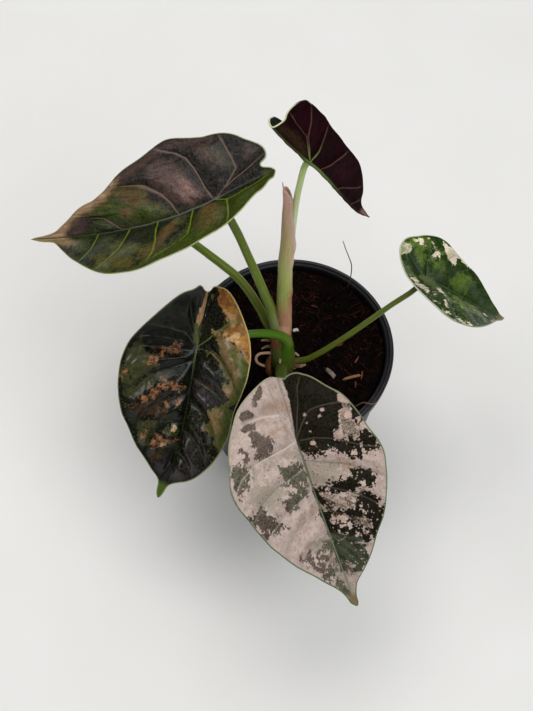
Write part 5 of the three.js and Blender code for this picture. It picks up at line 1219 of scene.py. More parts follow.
def blade_material(name, top):
    look = LOOKS[name]
    m = Mat("mat_blade_%s_%s" % (name, "top" if top else "under"))
    st, streak = m.attr("leaf", True), m.attr("streak", True)
    sep = m.t.nodes.new("ShaderNodeSeparateXYZ")
    m.put(sep.inputs[0], st)
    s, t = sep.outputs[0], sep.outputs[1]
    plus = m.math("GREATER_THAN", t, 0.0)
    broad = m.noise(st, 0.11, 2.0)
    middle = m.noise(st, 0.42, 4.0, 0.62)
    fine = m.noise(st, 1.7, 4.0, 0.6)
    comb = m.noise(streak, 0.8, 4.0, 0.6, 0.4)
    comb_fine = m.noise(streak, 2.6, 3.0, 0.6)
    blot = m.noise(st, 0.95, 2.0, 0.5)
    wob = middle if name == "a" else m.noise(st, 0.36, 2.4, 0.5)
    # veins
    def to_vein(phi, span, count):
        d = m.mul(m.math("ABSOLUTE", m.sub(phi, m.math("ROUND", phi))), span)
        bad = m.math("MAXIMUM", m.math("LESS_THAN", phi, 0.5), m.math("GREATER_THAN", phi, count + 0.5))
        return m.madd(bad, 9.0, d)
    own = VEINS.get(name) or {"+": VEINS["d"]["-"], "-": VEINS["d"]["-"]}
    n_p, n_m = len(own["+"]), len(own.get("-") or own["+"])
    dp = to_vein(m.attr("phi_p"), m.attr("span_p"), n_p)
    dm = to_vein(m.attr("phi_m"), m.attr("span_m"), n_m)
    dv = m.add(m.mul(dp, plus), m.mul(dm, m.sub(1.0, plus)))
    dv = m.math("MINIMUM", dv, m.attr("free"))
    edge_mm = m.attr("edge")
    # base and patches
    tone = m.smooth(m.add(m.mul(middle, 0.6), m.mul(comb, 0.4)), 0.36, 0.66)
    col = colour_pair(m, tone, look["base"])
    w1, w2, w3 = look["mix"]
    rag = m.madd(wob, w1, m.madd(comb, w2, m.madd(blot, w3, -0.5 * (w1 + w2 + w3))))
    rag = m.madd(fine, 0.25, m.add(rag, -0.125))
    rag = m.mul(rag, m.smooth(m.math("ABSOLUTE", t), 0.4, 4.0, 0.12, 1.0))
    if name == "c":
        rag = m.mul(rag, m.smooth(s, -12, 8, 0.25, 1.0))
    for key, a, b, ragged, soft, *more in look["layers"]:
        cover, grow = (more + [1.0, 0.0])[:2] if len(more) < 2 else more
        field = m.madd(rag, ragged * 1.25, m.attr("m_" + key))
        if name == "d" and key == "cream":
            # on the front half the cream is broken into thin strokes
            stroke = m.noise(m.scale_vec(st, (0.30, 0.95, 1.0)), 1.0, 3.0, 0.6)
            field = m.sub(field, m.mul(plus, m.line(stroke, 0.44, 0.62, 0.0, 2.6)))
        mask = m.smooth(field, -0.5 * soft - grow, 0.5 * soft - grow)
        if cover < 1:
            mask = m.mul(mask, cover)
        if name == "b" and key == "mid":
            mask = m.mul(mask, m.smooth(s, 0, 9, 0.22, 1.0))
            drift = m.smooth(m.noise(st, 0.13, 3.0, 0.6), 0.42, 0.58)
            a, b = m.mix(drift, srgb(70, 50, 42), srgb(44, 62, 26)), m.mix(drift, srgb(38, 32, 26), srgb(22, 30, 14))
        if name == "c" and key == "olive":
            low = m.mul(m.mul(plus, m.smooth(s, 15, 20)), m.smooth(t, 12, 16))
            a, b = m.mix(low, srgb(*a), srgb(88, 76, 66)), m.mix(low, srgb(*b), srgb(66, 58, 50))
        if name == "b" and key == "olive":
            # right half: tan in the middle of the patch and green towards the margin
            heart = m.smooth(m.add(m.attr("edge"), m.madd(middle, 5, -2.5)), 2.0, 6.0)
            a, b = m.mix(heart, srgb(66, 76, 30), srgb(140, 108, 80)), m.mix(heart, srgb(46, 54, 22), srgb(92, 86, 42))
            moss = m.smooth(m.noise(st, 0.15, 2.0, 0.5), 0.47, 0.56)
            a, b = m.mix(m.mul(moss, 0.8), a, srgb(88, 94, 42)), m.mix(m.mul(moss, 0.8), b, srgb(62, 70, 30))
            a, b = m.mix(plus, a, srgb(70, 68, 36)), m.mix(plus, b, srgb(46, 52, 28))
        own_tone = m.smooth(m.madd(fine, 0.4, m.madd(comb, 0.4, m.mul(middle, 0.2))), 0.40, 0.60)
        if name == "b" and key == "tanpatch":
            own_tone = m.smooth(m.madd(comb_fine, 0.45, m.madd(fine, 0.25, m.mul(wob, 0.3))), 0.56, 0.44)
        if name == "d" and key == "cream":
            # the patch at the far lobe is mottled with green
            far = m.mul(m.mul(m.smooth(s, -7, -10), m.sub(1.0, plus)), m.smooth(wob, 0.44, 0.56))
            a, b = m.mix(m.mul(far, 0.75), srgb(*a), srgb(138, 156, 104)), m.mix(m.mul(far, 0.75), srgb(*b), srgb(112, 136, 82))
        col = m.mix(mask, col, colour_pair(m, own_tone, (a, b)))
    def dots(scale, size, gate, seed, stretch=(1.0, 1.0, 1.0)):
        """Small scattered spots, in loose groups."""
        v = m.voronoi(m.scale_vec(st, stretch), scale)
        v = m.add(v, m.madd(blot, 0.36, -0.18))
        spread = m.noise(m.scale_vec(st, (1.0, 1.0, seed)), 0.16 + 0.01 * seed, 2.0)
        return m.mul(m.smooth(v, size * 0.7, size * 1.2, 1.0, 0.0), m.smooth(spread, gate, gate + 0.05))

    if name == "c":
        minus = m.sub(1.0, plus)
        away = m.smooth(edge_mm, 1.0, 3.0)
        down = m.smooth(s, 2, 10)
        col = m.mix(m.mul(m.mul(dots(0.62, 0.24, 0.46, 1), m.mul(minus, down)), 0.85), col, m.mix(fine, srgb(150, 124, 108), srgb(196, 172, 158)))
        col = m.mix(m.mul(m.mul(dots(0.9, 0.26, 0.50, 2), m.mul(minus, away)), 0.8), col, m.mix(fine, srgb(40, 50, 28), srgb(26, 24, 18)))
        col = m.mix(m.mul(m.mul(dots(0.7, 0.22, 0.54, 3), m.mul(plus, away)), 0.75), col, m.mix(fine, srgb(76, 74, 60), srgb(112, 100, 88)))
    if name == "b":
        near = m.mul(plus, m.mul(m.smooth(s, 8, 18), m.smooth(s, 52, 62, 1.0, 0.0)))
        col = m.mix(m.mul(dots(0.75, 0.32, 0.44, 1, (1.0, 0.8, 1.0)), m.mul(near, 0.92)), col, m.mix(fine, srgb(9, 10, 6), srgb(24, 22, 13)))
        col = m.mix(m.mul(dots(0.85, 0.24, 0.50, 2, (1.1, 0.7, 1.0)), m.mul(near, 0.85)), col, m.mix(fine, srgb(110, 102, 44), srgb(66, 72, 28)))
        rim_side = m.mul(m.sub(1.0, plus), m.smooth(s, 22, 30))
        col = m.mix(m.mul(dots(0.6, 0.26, 0.50, 3), m.mul(rim_side, 0.5)), col, m.mix(fine, srgb(34, 38, 20), srgb(150, 112, 60)))
    if name == "d":
        # fine cream flecks drawn out along the front half
        fleck = m.noise(m.scale_vec(st, (0.28, 1.15, 1.0)), 1.0, 5.0, 0.72)
        fleck = m.mul(m.smooth(fleck, 0.60, 0.645), m.madd(plus, 0.85, 0.12))
        col = m.mix(fleck, col, m.mix(fine, srgb(176, 178, 138), srgb(214, 204, 176)))
    # painted light and shade: lighter on the pillows, darker in the hollows along the veins
    vein_hollow_shade = {"a": 0.8, "b": 0.75, "c": 0.92, "d": 0.72, "e": 0.9, "f": 0.8}[name]
    col = m.mix(1.0, col, m.line(m.attr("swell"), 0.1, 0.95, vein_hollow_shade, 1.06 if name != "d" else 1.12), "MULTIPLY")
    # small change of tone along the side veins and in the fine net
    shade = m.line(comb_fine, 0.32, 0.68, *look["streak"])
    col = m.mix(1.0, col, shade, "MULTIPLY")
    net = m.voronoi(m.mix(0.2, st, streak, "LINEAR_LIGHT"), 0.55, "DISTANCE_TO_EDGE")
    net_line = m.smooth(net, 0.02, 0.12, 1.0, 0.0)
    col = m.mix(m.mul(net_line, 0.10), col, m.mix(plus, srgb(*look["vein_m"]), srgb(*look["vein_p"])))
    if not top:
        red = m.mix(middle, srgb(30, 9, 13), srgb(50, 18, 23))
        col = m.mix(look["maroon"], col, red)
        if name == "e":
            col = m.mix(m.smooth(m.madd(comb_fine, 0.5, m.mul(middle, 0.5)), 0.36, 0.64), srgb(14, 2, 5), srgb(36, 7, 15))
            for key, a, b in (("brown", (58, 42, 22), (34, 22, 15)), ("wine", (44, 10, 21), (26, 5, 11))):
                mask = m.smooth(m.madd(rag, 4.0, m.attr("m_" + key)), -1.6, 1.6)
                col = m.mix(mask, col, colour_pair(m, own_tone, (a, b)))
            col = m.mix(m.smooth(m.madd(broad, 5, s), 54.5, 59), col, srgb(150, 106, 94))
    # veins and midrib
    vcol = m.mix(plus, srgb(*look["vein_m"]), srgb(*look["vein_p"]))
    mcol = m.mix(m.smooth(s, *{"b": (2, 15)}.get(name, (16, 55))), srgb(*look["mid"]), srgb(*look["mid2"]))
    if not top:
        pale = {"a": (112, 120, 78), "b": (104, 108, 70), "c": (150, 146, 116), "d": (128, 140, 98), "e": (96, 70, 56), "f": (96, 104, 70)}[name]
        vcol, mcol = srgb(*pale), srgb(*pale)
        if name == "e":
            near = m.smooth(m.math("SQRT", m.add(m.mul(s, s), m.mul(t, t))), 3, 10, 1.0, 0.0)
            vcol = m.mix(near, vcol, srgb(124, 146, 84))
            mcol = m.mix(m.smooth(s, 4, 40), srgb(112, 134, 72), srgb(44, 36, 22))
    w = look["vein_w"] * (1.0 if top else 0.85 if name == "e" else 1.25)
    vmask = m.smooth(m.add(dv, m.madd(fine, 0.3, -0.15)), w * 0.45, w * 1.7, 1.0, 0.0)
    edge = m.attr("edge")
    vmask = m.mul(vmask, m.smooth(edge, 0.6, 3.5, 0.25, 1.0))
    vs = m.mix(plus, (look["vein_s"][1],) * 3 + (1,), (look["vein_s"][0],) * 3 + (1,))
    if top and name == "c":
        # on the pink half only the two side veins next to the stalk stand out
        band = m.mul(m.smooth(m.attr("phi_p"), 1.4, 1.6), m.smooth(m.attr("phi_p"), 3.4, 3.6, 1.0, 0.0))
        band = m.mul(band, m.smooth(t, 17, 25, 1.0, 0.3))
        vs = m.mul(vs, m.madd(m.mul(m.sub(1.0, band), plus), -0.75, 1.0))
    if top and name == "b":
        # on the right half only the side vein along the olive patch stands out
        band = m.mul(m.smooth(m.attr("phi_m"), 1.4, 1.6), m.smooth(m.attr("phi_m"), 2.4, 2.6, 1.0, 0.0))
        vs = m.mul(vs, m.madd(m.mul(m.sub(1.0, band), m.sub(1.0, plus)), -0.8, 1.0))
    if not top:
        vs = 0.8
    col = m.mix(m.mul(vmask, vs), col, vcol)
    mw = look["mid_w"] * (1.0 if top else 1.7 if name == "e" else 1.3)
    midn = m.math("ABSOLUTE", m.attr("midn"))
    mmask = m.mul(m.smooth(midn, mw * 0.6, mw * 1.5, 1.0, 0.0), m.smooth(s, -6, 1, 0.35, 1.0))
    col = m.mix(m.mul(mmask, 0.85), col, mcol)
    if top and name == "c":
        line = m.smooth(midn, 0.08, 0.3, 0.75, 0.0)
        col = m.mix(m.mul(line, m.smooth(s, 0, 8)), col, srgb(126, 134, 108))
    # margin
    ecol = m.mix(m.smooth(m.add(s, m.mul(broad, 30)), *{"a": (28, 60), "b": (10, 40), "c": (34, 0), "d": (10, 30), "e": (-9, -1), "f": (10, 30)}[name]), srgb(*look["margin"]), srgb(*look["margin2"]))
    if name == "c":
        right_low = m.mul(m.smooth(s, 30, 8), m.sub(1.0, plus))
        ecol = m.mix(m.mul(right_low, 0.6), ecol, srgb(96, 106, 74))
    if name == "e":
        ecol = m.mix(m.sub(1.0, plus), ecol, srgb(*look["margin"]))
    if name == "b":
        ecol = m.mix(m.mul(plus, 0.75), ecol, srgb(104, 116, 72))
    if top and name in "bcd":
        # the drip tip
        length = {"b": 67.5, "c": 76, "d": 47.4}[name]
        tip_col = {"b": (72, 92, 26), "c": (128, 110, 78), "d": (140, 104, 74)}[name]
        col = m.mix(m.smooth(m.madd(fine, 2, s), length, length + 4), col, srgb(*tip_col))
    ew = look["margin_w"]
    near_edge = m.add(edge, m.madd(fine, 0.35, -0.17))
    if name == "a":
        near_edge = m.add(near_edge, m.madd(plus, -0.22, 0.22))
        ecol = m.mix(m.mul(m.sub(1.0, plus), 0.6), ecol, srgb(150, 156, 84))
    emask = m.smooth(near_edge, ew * 0.7, ew * 1.5, 1.0, 0.0)
    col = m.mix(m.mul(emask, 0.92), col, ecol)
    m.set(Base_Color=col)
    # gloss
    rough = m.add(m.madd(middle, 0.16, look["rough"] - 0.08), m.mul(comb_fine, 0.08))
    rough = m.madd(emask, 0.12, rough)
    if not top:
        rough = m.add(rough, 0.12)
    elif name == "e":
        rough = m.add(rough, 0.3)
    elif name == "b":
        rough = m.madd(m.mul(plus, m.smooth(s, 6, -10)), 0.3, rough)
    m.set(Roughness=rough)
    m.bsdf.inputs["IOR"].default_value = 1.3 if name in "bce" else 1.42
    m.bsdf.inputs["Specular IOR Level"].default_value = look["spec"]
    if name in "c":
        m.bsdf.inputs["Subsurface Weight"].default_value = 0.06
        m.bsdf.inputs["Subsurface Scale"].default_value = 0.0008
    # relief: side vein comb, net cells, grain
    h = m.add(m.mul(comb_fine, 0.5), m.mul(m.smooth(net, 0.0, 0.3), 0.35))
    h = m.add(h, m.mul(fine, 0.3))
    h = m.sub(h, m.mul(vmask, 0.25 if top else -0.4))
    n1 = m.bump(h, {"a": 0.75, "b": 0.22}.get(name, 0.55), {"a": 0.2, "b": 0.1}.get(name, 0.16))
    n2 = m.bump(m.noise(st, 9.0, 2.0), 0.1 if name == "b" else 0.25, 0.03, n1)
    m.set(Normal=n2)
    return m.m


for key in "abcdef":
    blade = build_blade(key, [blade_material(key, True), blade_material(key, False)])
    settle(blade, {"c": "blade_pink", "d": "blade_green", "e": "blade_purple"}.get(key, "blade_dark"), "blade_" + key)


# ---- stalks ----
def stalk_material(name, stops, across=None, rough=0.4, soft=0.08, streaks=0.16, specks=None, along_axis="share"):
    """stops: share of the length and colour. across: colour towards one flank."""
    m = Mat("mat_" + name)
    grain = m.attr("grain", True)
    pos = m.object_mm()
    share = m.attr(along_axis)
    lines = m.noise(grain, 1.0, 4.0, 0.6)
    blotch = m.noise(pos, 0.22, 3.0, 0.6)
    fine = m.noise(pos, 1.8, 3.0, 0.6)
    f = m.add(share, m.madd(blotch, 0.10, -0.05))
    col = m.ramp(f, [(p, srgb(*c)) for p, c in stops])
    if across is not None:
        fl = m.attr("flank")
        col = m.mix(m.mul(m.smooth(m.add(fl, m.madd(blotch, 0.8, -0.4)), 0.0, 1.0), across[1]), col, srgb(*across[0]))
    tone = m.line(lines, 0.3, 0.7, 1 - streaks, 1 + streaks)
    col = m.mix(1.0, col, tone, "MULTIPLY")
    tone2 = m.line(fine, 0.3, 0.7, 0.93, 1.06)
    col = m.mix(1.0, col, tone2, "MULTIPLY")
    if specks is not None:
        sp = m.smooth(m.noise(pos, 1.1, 2.0, 0.5), 0.62, 0.70)
        col = m.mix(m.mul(sp, specks[1]), col, srgb(*specks[0]))
    m.set(Base_Color=col, Roughness=m.madd(blotch, 0.14, rough - 0.07))
    m.bsdf.inputs["Specular IOR Level"].default_value = 0.3
    m.bsdf.inputs["Subsurface Weight"].default_value = soft
    m.bsdf.inputs["Subsurface Scale"].default_value = 0.0015
    h = m.add(m.mul(lines, 0.7), m.mul(fine, 0.3))
    n1 = m.bump(h, 0.5, 0.12)
    m.set(Normal=m.bump(m.noise(pos, 6.0, 2.0), 0.3, 0.03, n1))
    return m.m


def stalk(name, rows, slot, material, sides=28, steps=140, shape=None, cap=0.6, flank=(1.0, 0.0, 0.0), node=None):
    V, faces, lon, aro, total = tube(rows, sides, steps, shape, cap)
    k = 5.0
    grain = np.stack([np.cos(aro) * k, np.sin(aro) * k, lon * 0.09], 1)
    pts, tan, _ = curve_points(rows, steps)
    near = pts[np.clip(np.round(lon / total * steps).astype(int), 0, steps)]
    out = V - near
    side = out @ np.array(flank) / np.maximum(np.linalg.norm(out, axis=1), 1e-6)
    ob = make_object(name, V, faces, [material], None, {"share": lon / total, "flank": side, "z_mm": V[:, 2]}, {"grain": grain})
    return settle(ob, slot, *(node or [name]))


soft_noise = Noise3(5)


def lumpy(amount, size, seed=0.0, rings=None, ring_size=0.0):
    """A radius that wavers, with raised rings like leaf scars at the given shares."""
    def shape(u, a, r):
        q = np.stack([np.cos(a) * 4 + seed, np.sin(a) * 4 - seed, np.full_like(a, u * size)], 1)
        k = 1 + amount * soft_noise(q, 1.6) + amount * 0.5 * soft_noise(q * 2.3, 1.6)
        out = r * k
        for x in rings or ():
            out = out + ring_size * math.exp(-((u - x) / 0.012) ** 2)
        return out
    return shape


GREEN_STALKS = {
    "a": [(0.0, (158, 160, 118)), (0.10, (146, 152, 108)), (0.26, (110, 130, 46)), (0.55, (98, 122, 24)), (0.85, (82, 102, 22)), (1.0, (84, 104, 34))],
    "b": [(0.0, (78, 82, 34)), (0.07, (78, 92, 32)), (0.2, (78, 112, 24)), (0.5, (72, 114, 10)), (0.8, (68, 106, 12)), (1.0, (62, 88, 20))],
    "c": [(0.0, (74, 86, 36)), (0.4, (82, 104, 32)), (0.8, (86, 108, 36)), (1.0, (88, 106, 44))],
    "d": [(0.0, (104, 96, 56)), (0.12, (82, 98, 24)), (0.5, (88, 106, 28)), (0.85, (92, 108, 38)), (1.0, (96, 112, 50))],
    "e": [(0.0, (170, 172, 110)), (0.3, (200, 210, 150)), (0.5, (216, 228, 180)), (0.75, (202, 218, 158)), (0.93, (182, 202, 130)), (1.0, (136, 162, 80))],
    "f": [(0.0, (84, 84, 32)), (0.15, (92, 104, 28)), (0.5, (108, 128, 34)), (0.8, (94, 116, 24)), (1.0, (78, 96, 28))],
}


def to_sheet(key):
    """The stalk rows with the last one pulled back, so that it ends in the sheet and not above it."""
    rows = [tuple(r) for r in PETIOLES[key]]
    if key == "b":
        # the broad foot melts into the stem
        rows[:2] = [(-4.0, -9.5, 84.0, 4.5), (-3.7, -9.5, 91.0, 4.6), (-2.8, -8.9, 98.5, 3.6)]
    if key in "abcd":
        B = Blade(BLADES[key])
        n = B.normal(np.zeros(1), np.zeros(1))[0]
        x, y, z, r = rows[-1]
        p = np.array([x, y, z]) - n * (r + 0.35)
        rows[-1] = (p[0], p[1], p[2], r)
    return rows


for key in "abcdef":
    mat = stalk_material("petiole_" + key, GREEN_STALKS[key], rough=0.36, soft=0.1 if key in "ae" else 0.05,
                         across=((190, 196, 168), 0.25) if key == "e" else ((112, 104, 40), 0.2),
                         specks=((170, 172, 130), 0.22 if key in "af" else 0.1))
    stalk("petiole_" + key, to_sheet(key), {"a": "petiole_pale", "e": "petiole_white"}.get(key, "petiole_green"), mat,
          shape=lumpy(0.018, 30, ord(key)), steps=150, sides=28, cap=0.3)

# ---- stem ----
stem_mat = stalk_material(
    "stem", [(0.0, (70, 50, 36)), (0.36, (88, 66, 42)), (0.46, (78, 82, 34)), (0.6, (80, 96, 32)), (0.74, (84, 94, 34)), (0.85, (100, 92, 44)), (0.90, (156, 116, 82)), (0.94, (190, 144, 112)), (1.0, (198, 150, 122))],
    across=((120, 104, 60), 0.12), rough=0.55, soft=0.08, streaks=0.22, specks=((104, 62, 30), 0.5))


def hollow(mat):
    """The orange brown scar under the arch of petiole b."""
    t = mat.node_tree
    base = next(n for n in t.nodes if n.type == "BSDF_PRINCIPLED").inputs["Base Color"]
    old = base.links[0].from_socket
    m = Mat.__new__(Mat)
    m.m, m.t = mat, t
    pos = m.object_mm()
    d = t.nodes.new("ShaderNodeVectorMath")
    d.operation = "DISTANCE"
    m.put(d.inputs[0], pos)
    d.inputs[1].default_value = (-8.4, -7.6, 105.0)
    f = m.madd(m.noise(pos, 0.7, 3.0), 2.4, d.outputs["Value"])
    m.put(base, m.mix(m.smooth(f, 3.2, 4.9, 0.85, 0.0), old, srgb(126, 66, 26)))


hollow(stem_mat)


def stem_shape(u, a, r):
    q = np.stack([np.cos(a) * 4, np.sin(a) * 4, np.full_like(a, u * 14)], 1)
    k = 1 + 0.05 * soft_noise(q, 1.7) + 0.03 * soft_noise(q * 2.7, 1.7)
    out = r * k
    out = out * (1 - 0.14 * float(smoothstep(np.array(u), 0.92, 1.0)))
    for x, w in ((0.42, 0.22), (0.53, 0.25), (0.62, 0.18), (0.80, 0.2)):
        out = out + w * np.exp(-((u - x - 0.012 * np.sin(a + x * 20)) / 0.013) ** 2)
    return out


stalk("stem", STEM[:-1] + [(-3.85, -2.1, 114.8, 3.45)], "stem", stem_mat, sides=64, steps=200, shape=stem_shape, cap=0.5)


# ---- sheath: a thin membrane rolled round the white petiole, open above ----
def build_sheath():
    n_side, n_up, n_in = 56, 150, 40
    rows = SHEATH[:-3] + [(-3.35, 9.4, 199.2, 1.95), (-3.8, 9.9, 202.6, 1.6), (-4.8, 10.45, 205.0, 0.75), (-5.4, 10.9, 206.2, 0.25)]
    pts, tan, rad = curve_points(rows, 400)
    along = np.r_[0, np.cumsum(np.linalg.norm(np.diff(pts, axis=0), axis=1))]
    A, B = frames_along(pts, tan)
    total = along[-1]

    def at(l, a, r_less=0.0):
        c = np.stack([np.interp(l, along, pts[:, i]) for i in range(3)], -1)
        x = np.stack([np.interp(l, along, A[:, i]) for i in range(3)], -1)
        y = np.stack([np.interp(l, along, B[:, i]) for i in range(3)], -1)
        r = np.maximum(np.interp(l, along, rad) - r_less, 0.04)
        return c + (x * np.cos(a)[..., None] + y * np.sin(a)[..., None]) * r[..., None]

    ang = 2 * np.pi * np.arange(n_side) / n_side
    # direction of each side in the frame: the spur is on the left, the low notch on the right
    d = A[300][None] * np.cos(ang)[:, None] + B[300][None] * np.sin(ang)[:, None]
    left = -d[:, 0]
    top = np.interp(left, [-1, -0.6, 0.0, 0.6, 0.9, 1.0],
                    [total - 11.0, total - 6.6, total - 4.3, total - 3.8, total - 2.8, total - 0.3])
    rings = []
    for i in range(n_up + 1):
        f = i / n_up
        l = top * f
        r_add = np.zeros(n_side)
        p = at(l, ang)
        # wavering skin, and the small membrane bulge on the right
        q = np.stack([np.cos(ang) * 3, np.sin(ang) * 3, l * 0.12], 1)
        c = at(l, ang, 99)
        out = unit(p - c)
        z = p[:, 2]
        right = d[:, 0]
        bulge = (0.55 * np.exp(-((z - 169) / 3.6) ** 2) + 0.4 * np.exp(-((z - 159) / 3.0) ** 2) + 0.3 * np.exp(-((z - 138) / 3.0) ** 2)) * smoothstep(right, 0.3, 0.95)
        seam = 0.22 * np.exp(-((np.arctan2(d[:, 1], d[:, 0]) + 0.75) / 0.16) ** 2) * smoothstep(z, 118, 135)
        p = p + out * (0.07 * soft_noise(q, 1.3) + 0.04 * soft_noise(q * 2.2, 1.3) + bulge + seam)[:, None]
        rings.append(p)
    lip = rings[-1]
    wall = 0.42
    for k in range(1, n_in + 1):
        depth = 16.0 * (k - 1) / (n_in - 1) + 0.05
        rings.append(at(np.maximum(top - depth, 100.0), ang, wall if k > 0 else 0.0) if False else at(top - depth, ang, wall))
    V = np.vstack(rings)
    faces = []
    for i in range(len(rings) - 1):
        for j in range(n_side):
            a, b = i * n_side + j, i * n_side + (j + 1) % n_side
            faces.append((a, b, b + n_side, a + n_side))
    lo, hi = len(V), len(V) + 1
    V = np.vstack([V, pts[0] - tan[0] * 0.8, rings[-1].mean(axis=0)])
    last = (len(rings) - 1) * n_side
    for j in range(n_side):
        faces.append(((j + 1) % n_side, j, lo))
        faces.append((last + j, last + (j + 1) % n_side, hi))
    lon = np.r_[np.concatenate([top * i / n_up for i in range(n_up + 1)]), np.tile(top, n_in), 0, total]
    aro = np.r_[np.tile(ang, n_up + 1 + n_in), 0, 0]
    side = np.r_[np.tile(d[:, 0], n_up + 1 + n_in), 0, 0]
    lipd = np.r_[np.concatenate([top * (1 - i / n_up) for i in range(n_up + 1)]), np.zeros(n_side * n_in), 9, 9]
    grain = np.stack([np.cos(aro) * 5, np.sin(aro) * 5, lon * 0.09], 1)
    m = Mat("mat_sheath")
    pos = m.object_mm()
    sepz = m.attr("z_mm")
    blotch = m.noise(pos, 0.22, 3.0, 0.6)
    fine = m.noise(pos, 1.8, 3.0, 0.6)
    lines = m.noise(m.attr("grain", True), 1.0, 4.0, 0.6)
    zz = m.line(m.add(sepz, m.madd(blotch, 10, -5)), 106, 206)
    left_c = m.ramp(zz, [(0.0, srgb(196, 144, 116)), (0.18, srgb(192, 142, 108)), (0.29, srgb(168, 178, 86)), (0.44, srgb(168, 178, 90)), (0.60, srgb(178, 170, 104)), (0.76, srgb(182, 156, 114)), (0.9, srgb(188, 148, 124)), (1.0, srgb(196, 150, 142))])
    right_c = m.ramp(zz, [(0.0, srgb(198, 146, 120)), (0.22, srgb(194, 142, 112)), (0.31, srgb(160, 104, 74)), (0.37, srgb(176, 168, 96)), (0.45, srgb(188, 184, 120)), (0.56, srgb(206, 178, 146)), (0.8, srgb(194, 158, 144)), (1.0, srgb(184, 142, 136))])
    col = m.mix(m.smooth(m.add(m.attr("flank"), m.madd(blotch, 0.5, -0.25)), 0.0, 0.95), left_c, right_c)
    col = m.mix(1.0, col, m.line(lines, 0.3, 0.7, 0.84, 1.14), "MULTIPLY")
    col = m.mix(m.smooth(m.attr("lip"), 0.2, 1.6, 0.45, 0.0), col, srgb(206, 176, 164))
    drops = m.smooth(m.noise(pos, 0.9, 1.0, 0.4), 0.66, 0.72)
    col = m.mix(m.mul(drops, 0.35), col, srgb(214, 212, 176))
    col = m.mix(m.smooth(m.noise(pos, 0.8, 2.0, 0.6), 0.64, 0.74, 0.0, 0.4), col, srgb(118, 82, 56))
    m.set(Base_Color=col, Roughness=m.madd(blotch, 0.16, 0.34))
    m.bsdf.inputs["Subsurface Weight"].default_value = 0.12
    m.bsdf.inputs["Subsurface Scale"].default_value = 0.0015
    m.set(Normal=m.bump(m.add(m.mul(lines, 0.7), m.mul(fine, 0.3)), 0.5, 0.14))
    ob = make_object("sheath", V, faces, [m.m], None, {"flank": side, "z_mm": V[:, 2], "lip": lipd}, {"grain": grain})
    settle(ob, "sheath", "sheath")


build_sheath()

# ---- roots, dry sheaths, fibres ----
root_mat = stalk_material("root", [(0.0, (180, 148, 122)), (0.5, (192, 152, 128)), (0.85, (150, 110, 84)), (1.0, (96, 66, 48))],
                          rough=0.55, soft=0.1, streaks=0.2, specks=((112, 70, 48), 0.5))
nub_mats = {
    "root_nub_a": stalk_material("root_nub_a", [(0.0, (104, 74, 50)), (0.6, (142, 114, 88)), (1.0, (176, 154, 128))], rough=0.5),
    "root_nub_b": stalk_material("root_nub_b", [(0.0, (98, 70, 48)), (0.6, (134, 106, 80)), (1.0, (168, 144, 118))], rough=0.5),
    "root_nub_c": stalk_material("root_nub_c", [(0.0, (124, 96, 66)), (0.6, (160, 134, 104)), (1.0, (178, 156, 128))], rough=0.5),
    "root_nub_d": stalk_material("root_nub_d", [(0.0, (126, 92, 66)), (0.6, (170, 142, 114)), (1.0, (190, 168, 142))], rough=0.5),
    "root_nub_e": stalk_material("root_nub_e", [(0.0, (124, 86, 56)), (0.6, (164, 128, 92)), (1.0, (176, 146, 112))], rough=0.5),
}
stalk("root_loop", [(x, y, z, r * 0.88) for x, y, z, r in ROOT_LOOP], "root", root_mat, sides=20, steps=150, shape=lumpy(0.09, 50, 3))
for key, rows in NUBS.items():
    stalk(key, [(x, y, z, r * 0.68) for x, y, z, r in rows], "root", nub_mats[key], sides=20, steps=40, shape=lumpy(0.10, 8, len(key)), cap=0.9)
husk_l = stalk_material("husk_left", [(0.0, (92, 56, 30)), (0.5, (124, 76, 42)), (1.0, (70, 44, 28))], rough=0.7, soft=0.02, streaks=0.4, specks=((60, 34, 20), 0.6))
husk_r = stalk_material("husk_right", [(0.0, (70, 46, 30)), (0.5, (104, 74, 50)), (1.0, (168, 146, 118))], rough=0.7, soft=0.02, streaks=0.4, specks=((58, 36, 22), 0.5))


def crumpled(u, a, r):
    q = np.stack([np.cos(a) * 3, np.sin(a) * 3, np.full_like(a, u * 9)], 1)
    return r * (0.86 + 0.20 * soft_noise(q, 1.1) + 0.10 * np.cos(a * 3 + u * 5))


stalk("dry_sheath_left", DRY_SHEATH_LEFT, "dry_husk", husk_l, sides=32, steps=90, shape=crumpled)
stalk("dry_sheath_right", DRY_SHEATH_RIGHT, "dry_husk", husk_r, sides=32, steps=80, shape=crumpled)
fibre_mat = stalk_material("coir_fibre", [(0.0, (82, 56, 40)), (0.6, (104, 78, 60)), (1.0, (118, 96, 78))], rough=0.7, soft=0.0, streaks=0.3)
stalk("coir_fibre_a", FIBRES["coir_fibre_a"], "coir", fibre_mat, sides=12, steps=90, shape=lambda u, a, r: r * (0.62 + 0.1 * np.cos(a * 2)) + 0 * a)
stalk("coir_fibre_b", FIBRES["coir_fibre_b"], "coir", fibre_mat, sides=12, steps=60, shape=lambda u, a, r: r * (0.72 + 0.1 * np.cos(a * 2)) + 0 * a)


# ---- loose chips and the white grain ----
def chip_material(name, a, b, rough=0.8):
    m = Mat("mat_" + name)
    pos = m.object_mm()
    n1, n2 = m.noise(pos, 0.5, 4.0, 0.65), m.noise(pos, 2.6, 4.0, 0.65)
    col = m.mix(m.smooth(m.add(m.mul(n1, 0.6), m.mul(n2, 0.4)), 0.36, 0.64), srgb(*a), srgb(*b))
    m.set(Base_Color=col, Roughness=m.madd(n2, 0.15, rough - 0.1), Normal=m.bump(n2, 0.7, 0.25))
    m.bsdf.inputs["Specular IOR Level"].default_value = 0.25
    return m.m


